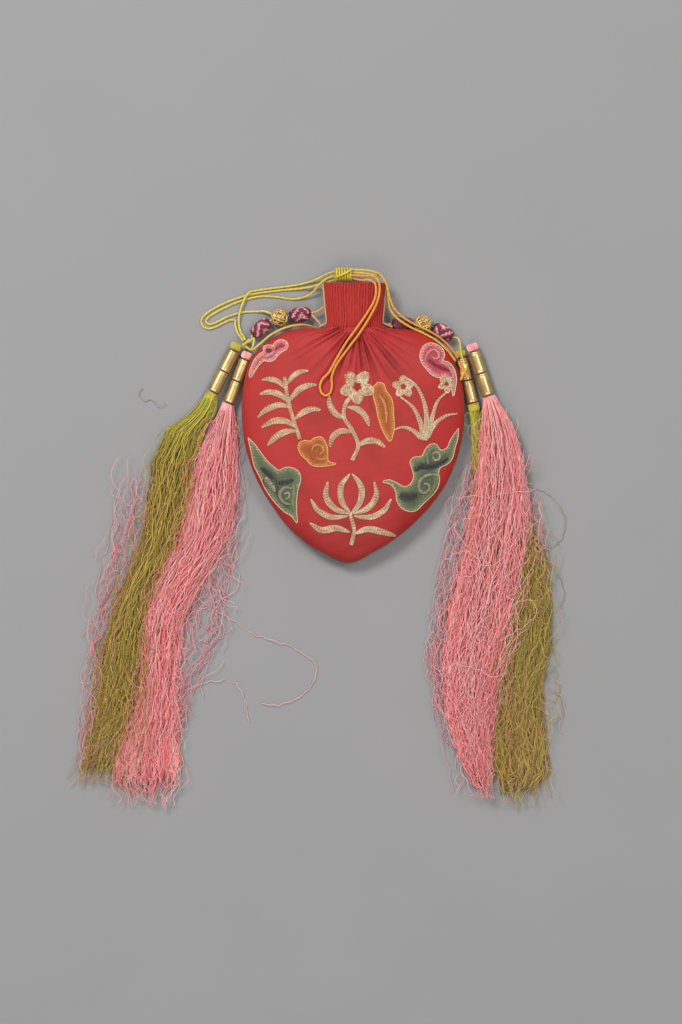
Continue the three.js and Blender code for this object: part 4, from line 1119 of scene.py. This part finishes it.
# Bands of loose fluff beside the skirts: the lift, then rows with the same three columns
FLUFF = {
    "left_green": [
        (0, (470, 132, 156), (520, 126, 150), (560, 120, 140), (620, 100, 122), (700, 90, 110),
         (775, 72, 100)),
        (4.5, (470, 184, 200), (540, 164, 182), (600, 138, 156), (660, 130, 150), (730, 122, 144),
         (790, 108, 130)),
    ],
    "left_pink": [
        (0, (470, 118, 150), (520, 120, 150), (560, 108, 140), (620, 94, 125), (680, 84, 115),
         (740, 78, 112), (780, 76, 120)),
        (0, (450, 124, 150), (500, 118, 148), (560, 100, 138), (620, 88, 120), (690, 84, 110),
         (760, 80, 100)),
        (0, (530, 176, 240), (580, 186, 232), (640, 170, 222), (700, 166, 196)),
        (0, (420, 232, 242), (500, 230, 243), (560, 208, 236), (620, 180, 226), (680, 174, 202),
         (740, 172, 184)),
    ],
    "right_green": [
        (0, (480, 522, 536), (540, 528, 554), (600, 522, 558), (660, 508, 558), (720, 505, 556),
         (790, 500, 552)),
        (3.5, (500, 514, 530), (560, 510, 536), (620, 500, 530), (680, 490, 524), (740, 488, 522),
         (785, 490, 520)),
    ],
    "right_pink": [
        (0, (440, 468, 482), (500, 450, 474), (560, 446, 462), (620, 434, 452), (680, 428, 448),
         (740, 440, 462), (785, 452, 482)),
        (0, (470, 462, 484), (530, 446, 470), (600, 434, 460), (660, 430, 452), (720, 436, 460)),
        (0, (490, 526, 538), (540, 524, 548), (600, 512, 545), (660, 498, 540)),
    ],
}
# Single strands that have come away: the tint, then the line in the photograph
STRAYS = {
    "left_green": [
        ("olive", [(142, 388), (138, 394), (143, 400), (152, 401), (158, 406), (166, 404)]),
        ("tan", [(186, 492), (168, 500), (150, 508), (134, 520), (129, 534), (134, 548), (141, 560)]),
        ("tan", [(196, 505), (182, 508), (168, 510), (152, 512), (140, 517)]),
        ("tan", [(141, 560), (146, 584), (144, 606), (142, 628), (128, 634), (112, 638), (100, 644)]),
    ],
    "left_pink": [
        ("pale", [(222, 612), (234, 622), (252, 634), (270, 640), (288, 646), (306, 656), (318, 666)]),
        ("pale", [(318, 666), (314, 680), (304, 694), (290, 702), (272, 706), (262, 704)]),
        ("pale", [(180, 694), (196, 686), (212, 682), (228, 681), (240, 690), (246, 706), (248, 722)]),
        ("pale", [(206, 560), (226, 564), (238, 574), (236, 590), (222, 598)]),
        ("pale", [(196, 598), (212, 610), (224, 628), (214, 644), (198, 640)]),
        ("tan", [(105, 728), (106, 740), (112, 750), (124, 754), (140, 756)]),
        ("pale", [(160, 616), (174, 608), (192, 610), (210, 606), (222, 598)]),
        ("tan", [(122, 690), (136, 684), (152, 688), (168, 684), (176, 676)]),
    ],
    "right_green": [
        ("olive", [(534, 488), (548, 494), (560, 506), (566, 524), (562, 540), (552, 548), (540, 552)]),
        ("olive", [(546, 560), (556, 572), (565, 590), (562, 606), (552, 612)]),
        ("tan", [(505, 600), (524, 606), (542, 616), (551, 634), (544, 650), (526, 656)]),
        ("olive", [(552, 690), (562, 700), (563, 716), (552, 724), (543, 716)]),
        ("tan", [(500, 690), (516, 700), (534, 704), (548, 716)]),
    ],
    "right_pink": [
        ("pale", [(456, 499), (470, 496), (488, 497), (506, 493), (524, 492), (536, 489)]),
        ("pale", [(462, 520), (474, 516), (488, 517), (500, 524), (498, 534), (486, 538)]),
        ("pale", [(448, 560), (458, 552), (472, 554), (480, 564), (474, 574), (460, 578)]),
        ("pale", [(440, 670), (454, 664), (474, 668), (492, 676), (506, 672)]),
        ("pale", [(500, 640), (520, 628), (536, 612), (530, 600), (514, 604), (502, 616)]),
        ("pale", [(470, 560), (486, 566), (500, 560), (506, 546), (498, 536)]),
    ],
}
STRAY_TINTS = {"tan": TAN, "pale": colour(246, 178, 166), "olive": colour(150, 140, 92)}
# Heights in mm at which the strands that have come away lie
STRAY_HEIGHTS = {"left_green": 4.2, "left_pink": 1.2, "right_pink": 10.2, "right_green": 1.6}
ON_FLOOR = 0.8


def wavy(count, run, longest, shortest, waves=4):
    """Irregular lines along the run, in mm, mostly between -1 and 1."""
    total = np.zeros((count, run.shape[1]))
    size = 0
    for wave in np.geomspace(longest, shortest, waves):
        wave = wave * rng.uniform(0.75, 1.3, (count, 1))
        phase = rng.uniform(0, 2 * math.pi, (count, 1))
        bend = 0.9 * np.sin(2 * math.pi * run / (wave * 2.9) + rng.uniform(0, 6.3, (count, 1)))
        weight = (wave / longest) ** 0.55
        total += weight * np.sin(2 * math.pi * run / wave + phase + bend)
        size = size + weight**2
    return total / np.sqrt(size)


def between(rows, s, across):
    """X and Y in mm at shares s down a table of edges, across from -1 to 1, and the table's height."""
    rows = np.array(rows, float)
    edges = (rows[:, 1:] - ORIGIN_PIXEL[0]) * PIXEL
    y = (ORIGIN_PIXEL[1] - rows[:, 0]) * PIXEL
    height = y[0] - y[-1]
    row_shares = (y[0] - y) / height
    left, right = (np.interp(np.clip(s, 0, 1), row_shares, edges[:, side]) for side in (0, 1))
    return (left + right) / 2 + across * (right - left) / 2, y[0] - s * height, height


def skirt_lines(name, count, steps, spread=0.97, crinkle=0.7, shortest=0.8, layers=(0.0, 1.0), crossing=0.38):
    """Strands of a tassel's skirt, filling its width and height."""
    height = TASSELS[name][3]
    root_z = TASSELS[name][0][2]
    reach = rng.uniform(shortest, 1.0, (count, 1))
    s = np.linspace(0, 1, steps)[None] * reach
    across = rng.uniform(-1, 1, (count, 1))
    ends = np.clip(across + crossing * rng.standard_normal((count, 1)), -1, 1)
    blend = np.clip(s * 1.6 - rng.uniform(0, 0.6, (count, 1)), 0, 1)
    run = s * 170
    position = (across * (1 - blend) + ends * blend) * spread
    position = np.clip(position + 0.12 * wavy(count, run, 60, 25, 2) * np.clip(s * 4, 0, 1), -1.06, 1.06)
    layer = rng.uniform(*layers, (count, 1)) * np.ones_like(s)
    swing = crinkle * rng.uniform(0.5, 1.7, (count, 1)) * np.clip(s * 6, 0.12, 1) * (0.7 + 0.5 * s)
    x, y, length = between(SKIRTS[name], s, position)
    x = x + swing * wavy(count, run, 16, 5.5)
    y = y + 0.6 * swing * wavy(count, run, 14, 6)
    dome = np.sqrt(np.clip(1 - np.clip(np.abs(position), 0, 1) ** 2.2, 0.03, 1))
    full = np.interp(s, [0, 0.04, 0.15, 0.6, 1], [0.62, 0.75, 1, 0.9, 0.45]) * height
    lift = 0.4
    if name == "right_pink":
        lift = 2.4 + 2.6 * np.exp(-((s - 0.12) / 0.16) ** 2)
    z = lift + full * dome * layer + 0.5 * swing * wavy(count, run, 14, 6)
    start = np.clip(s * length / 7, 0, 1) ** 0.7
    heading = math.radians(TASSELS[name][1])
    axis = np.array([math.cos(heading), math.sin(heading)])
    root = np.array(TASSELS[name][0][:2]) + axis * (2 * FERRULE_LENGTH + ROOT_GAP)
    turned = position * math.pi / 2
    x = start * x + (1 - start) * (root[0] - axis[1] * ROOT_RADIUS * np.sin(turned))
    y = start * y + (1 - start) * (root[1] + axis[0] * ROOT_RADIUS * np.sin(turned))
    z = start * z + (1 - start) * (root_z + ROOT_RADIUS * np.cos(turned) * np.where(layer > 0.2, 1, -1))
    return np.stack([x, y, np.clip(z, 0.3, 18.5)], axis=-1), s, layer


def fluff_lines(rows, count, steps, curl, height=4.0):
    """Short curly strands in a loose band."""
    begin = rng.uniform(0, 0.85, (count, 1))
    extent = rng.uniform(0.12, 0.42, (count, 1))
    s = begin + np.linspace(0, 1, steps)[None] * np.minimum(extent, 1.02 - begin)
    across = rng.uniform(-1, 1, (count, 1))
    across = across + 0.5 * rng.standard_normal((count, 1)) * np.linspace(-1, 1, steps)[None]
    x, y, length = between(rows, s, np.clip(across, -1.3, 1.3))
    run = (s - begin) * length
    pace = rng.uniform(4.5, 16, (count, 1))
    phase = 2 * math.pi * run / pace + 1.4 * np.sin(2 * math.pi * run / 17 + rng.uniform(0, 6, (count, 1)))
    radius = curl * rng.uniform(0.3, 1.9, (count, 1))
    x = x + radius * np.cos(phase) + 1.4 * wavy(count, run, 40, 12, 3)
    y = y + radius * np.sin(phase) + 1.0 * wavy(count, run, 40, 12, 3)
    z = height * rng.uniform(0, 1, (count, 1)) * (0.6 + 0.4 * np.sin(2 * math.pi * run / 30))
    z = 0.4 + z + 0.4 * (1 + np.sin(phase))
    return np.stack([x, y, np.clip(z, 0.3, 12)], axis=-1), s


def strand_tints(kind, s, layer):
    """A tint for each point of each strand, darkened with painted shade deep inside the tassel."""
    count = len(s)
    level = rng.uniform(0, 1, (count, 1, 1))
    depth = np.clip(layer[:, :, None], 0, 1)
    if kind == "green":
        tint = OLIVE_DEEP + (OLIVE_LIGHT - OLIVE_DEEP) * level * np.ones((1, s.shape[1], 1))
        young = np.clip(1 - s * 5, 0, 1)[:, :, None]
        tint = tint + (YELLOW_GREEN * (0.8 + 0.7 * level) - tint) * young * 0.8
        brown = (rng.uniform(0, 1, (count, 1, 1)) < 0.2) * np.clip(s * 2 - 0.3, 0, 1)[:, :, None]
        tint = tint + (TAN * 0.8 - tint) * brown * 0.7
    else:
        tint = np.where(level < 0.2, PINK_DEEP + (PINK - PINK_DEEP) * level * 5,
                        PINK + (PINK_LIGHT - PINK) * (level - 0.2) / 0.8) * np.ones((1, s.shape[1], 1))
    # Painted shade: strands deeper in the skirt are darker
    shade = INNER_SHADE[kind]
    return np.clip(tint * (shade + (1 - shade) * depth), 0, 1)


def wound_knob(build, centre, axis, radius, length, tints):
    """A round lump of wound silk."""
    along = np.linspace(-1, 1, 14)
    profile = np.stack([along * length / 2, radius * (1 - np.abs(along) ** 3.2) ** 0.5 + 0.05], axis=1)
    # The core shows between the wound threads in a darker tint, as painted shade in the gaps
    turn(profile, centre, axis, 24, build, tints[0] * 0.7)
    side = unit(np.cross(axis, (0, 0, 1)))
    up = np.cross(side, axis)
    for k in range(26):
        angle = 2 * math.pi * k / 26 + along[1:-1] * 0.25
        path = centre + profile[1:-1, :1] * axis + profile[1:-1, 1:] * round_axis(angle, side, up)
        level = rng.uniform(0, 1)
        build.tube(path, 0.25, 4, tints[0] + (tints[1] - tints[0]) * level)


def gilt_ferrule(build, centre, axis):
    """A gilt tube wound with fine wire, with a deeper groove near each end."""
    half = FERRULE_LENGTH / 2
    rim, shoulder = FERRULE_RADIUS - 0.45, FERRULE_RADIUS - 0.12
    profile = [(-half, 0.4), (-half, rim), (-half + 0.12, shoulder)]
    winds = 23
    for wind in range(winds):
        base = -half + 0.3 + wind * (FERRULE_LENGTH - 0.6) / winds
        depth = 0.22 if wind in (2, winds - 2) else 0.05
        profile += [(base, FERRULE_RADIUS - depth), (base + 0.2, FERRULE_RADIUS)]
    profile += [(half - 0.12, shoulder), (half, rim), (half, 0.4)]
    turn(profile, centre, axis, 32, build)


def stray_strand(build, name, tint_name, line):
    """A single wavy strand along a line of the photograph."""
    plan = place(line)
    count = max(12, int(length_of(plan) / 0.8))
    x, y = spline(plan, count).T
    run = np.linspace(0, length_of(plan), count)[None]
    x = x + 0.35 * wavy(1, run, 9, 4)[0]
    y = y + 0.35 * wavy(1, run, 9, 4)[0]
    base = ON_FLOOR if tint_name == "olive" else STRAY_HEIGHTS[name]
    z = np.clip(base + 0.8 * wavy(1, run, 30, 10)[0], 0.3, 12)
    build.tube(np.stack([x, y, z], axis=1), STRAND_RADIUS, 4, STRAY_TINTS[tint_name])


def skirt(build, name, kind):
    """A tassel's hanging silk: thick strands inside, wavy ones over them, then curls, fluff and strays."""
    lines, s, layer = skirt_lines(name, count=62, steps=34, spread=0.84, crinkle=0.4, shortest=0.94,
                                  layers=(0.0, 0.5), crossing=0.1)
    lines[..., 2] = np.maximum(lines[..., 2], 1.05)
    core = CORE_RADIUS * np.clip(s * 12, 0.5, 1) * np.clip((1.02 - s) * 8, 0.25, 1)
    # The thick strands inside are darkened with painted shade
    build.tubes(lines, core, 3, strand_tints(kind, s, layer) * CORE_SHADE[kind])
    lines, s, layer = skirt_lines(name, count=165, steps=58)
    build.tubes(lines, rng.uniform(0.15, 0.25, (len(lines), 1)), 3, strand_tints(kind, s, layer))
    lines, s = fluff_lines(SKIRTS[name], count=150, steps=40, curl=0.75)
    lines[..., 2] = np.clip(lines[..., 2] + (5.2 if name == "right_pink" else 2.5), 0.3, 13)
    build.tubes(lines, STRAND_RADIUS, 3, strand_tints(kind, s, np.ones_like(s)))
    for lift, *rows in FLUFF[name]:
        lines, s = fluff_lines(rows, FLUFF_STRANDS[kind], steps=40, curl=0.8)
        lines[..., 2] += lift
        tint = strand_tints(kind, s, np.ones_like(s))
        other = rng.uniform(0, 1, (len(lines), 1, 1)) < OTHER_SHARE[kind]
        build.tubes(lines, FLUFF_RADIUS, 3, np.where(other, OTHER_TINT[kind], tint))
    for tint_name, line in STRAYS[name]:
        stray_strand(build, name, tint_name, line)


for name, (top, heading, kind, _) in TASSELS.items():
    top, axis = np.array(top), axes_along(heading)[0]
    build = Build()
    wound_knob(build, top - axis * 2.2, axis, radius=2.35, length=3.7, tints=KNOB_TINTS[kind])
    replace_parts(build.finish(name + "_wound_knob", floss), name + "_knob")
    for end, middle in (("upper", 0.5 * FERRULE_LENGTH), ("lower", 1.5 * FERRULE_LENGTH + 0.3)):
        build = Build()
        gilt_ferrule(build, top + axis * middle, axis)
        ferrule = build.finish(f"{name}_gilt_{end}", brass)
        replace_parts(ferrule, f"{name}_ferrule_{end}")
    build = Build()
    silk_top = top + axis * (2 * FERRULE_LENGTH + 2.7)
    wound_knob(build, silk_top, axis, radius=2.3, length=4.3, tints=KNOB_TINTS[kind])
    skirt(build, name, kind)
    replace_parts(build.finish(name + "_floss", floss), name + "_skirt")

# Camera, floor and light

# Straight above the pixel at the photograph's middle, in metres
CAMERA_PLACE = (-0.00495, -0.0304, 1.285)
camera = bpy.data.cameras.new("camera")
camera.lens = 100
camera.sensor_width = 36
camera.clip_end = 20
viewer = bpy.data.objects.new("camera", camera)
viewer.location = CAMERA_PLACE
bpy.context.scene.collection.objects.link(viewer)
bpy.context.scene.camera = viewer

bpy.ops.mesh.primitive_plane_add(size=3, location=(0, 0, 0))
floor = bpy.context.object
floor.name = "floor"
floor.data.materials.append(shader("floor", colour(143, 142, 142), 0.9, spots=(14, 0.97)))

world = bpy.data.worlds.new("world")
bpy.context.scene.world = world
world.use_nodes = True
world.node_tree.nodes["Background"].inputs["Color"].default_value = (1, 1, 1, 1)
world.node_tree.nodes["Background"].inputs["Strength"].default_value = 0.45


def soft_light(name, where, size, power):
    """A round lamp that faces the purse, in metres and watts."""
    light = bpy.data.lights.new(name, "AREA")
    light.shape = "DISK"
    light.size = size
    light.energy = power
    lamp = bpy.data.objects.new(name, light)
    lamp.location = where
    lamp.rotation_euler = (Vector((0, 0, 0)) - Vector(where)).to_track_quat("-Z", "Y").to_euler()
    bpy.context.scene.collection.objects.link(lamp)


soft_light("left light", (-0.6, 0.75, 1.35), size=0.5, power=18)
soft_light("right light", (0.7, 0.35, 1.5), size=0.6, power=7)
soft_light("front light", (-0.15, -0.75, 1.3), size=0.7, power=3.5)
bpy.context.scene.view_settings.view_transform = "Standard"
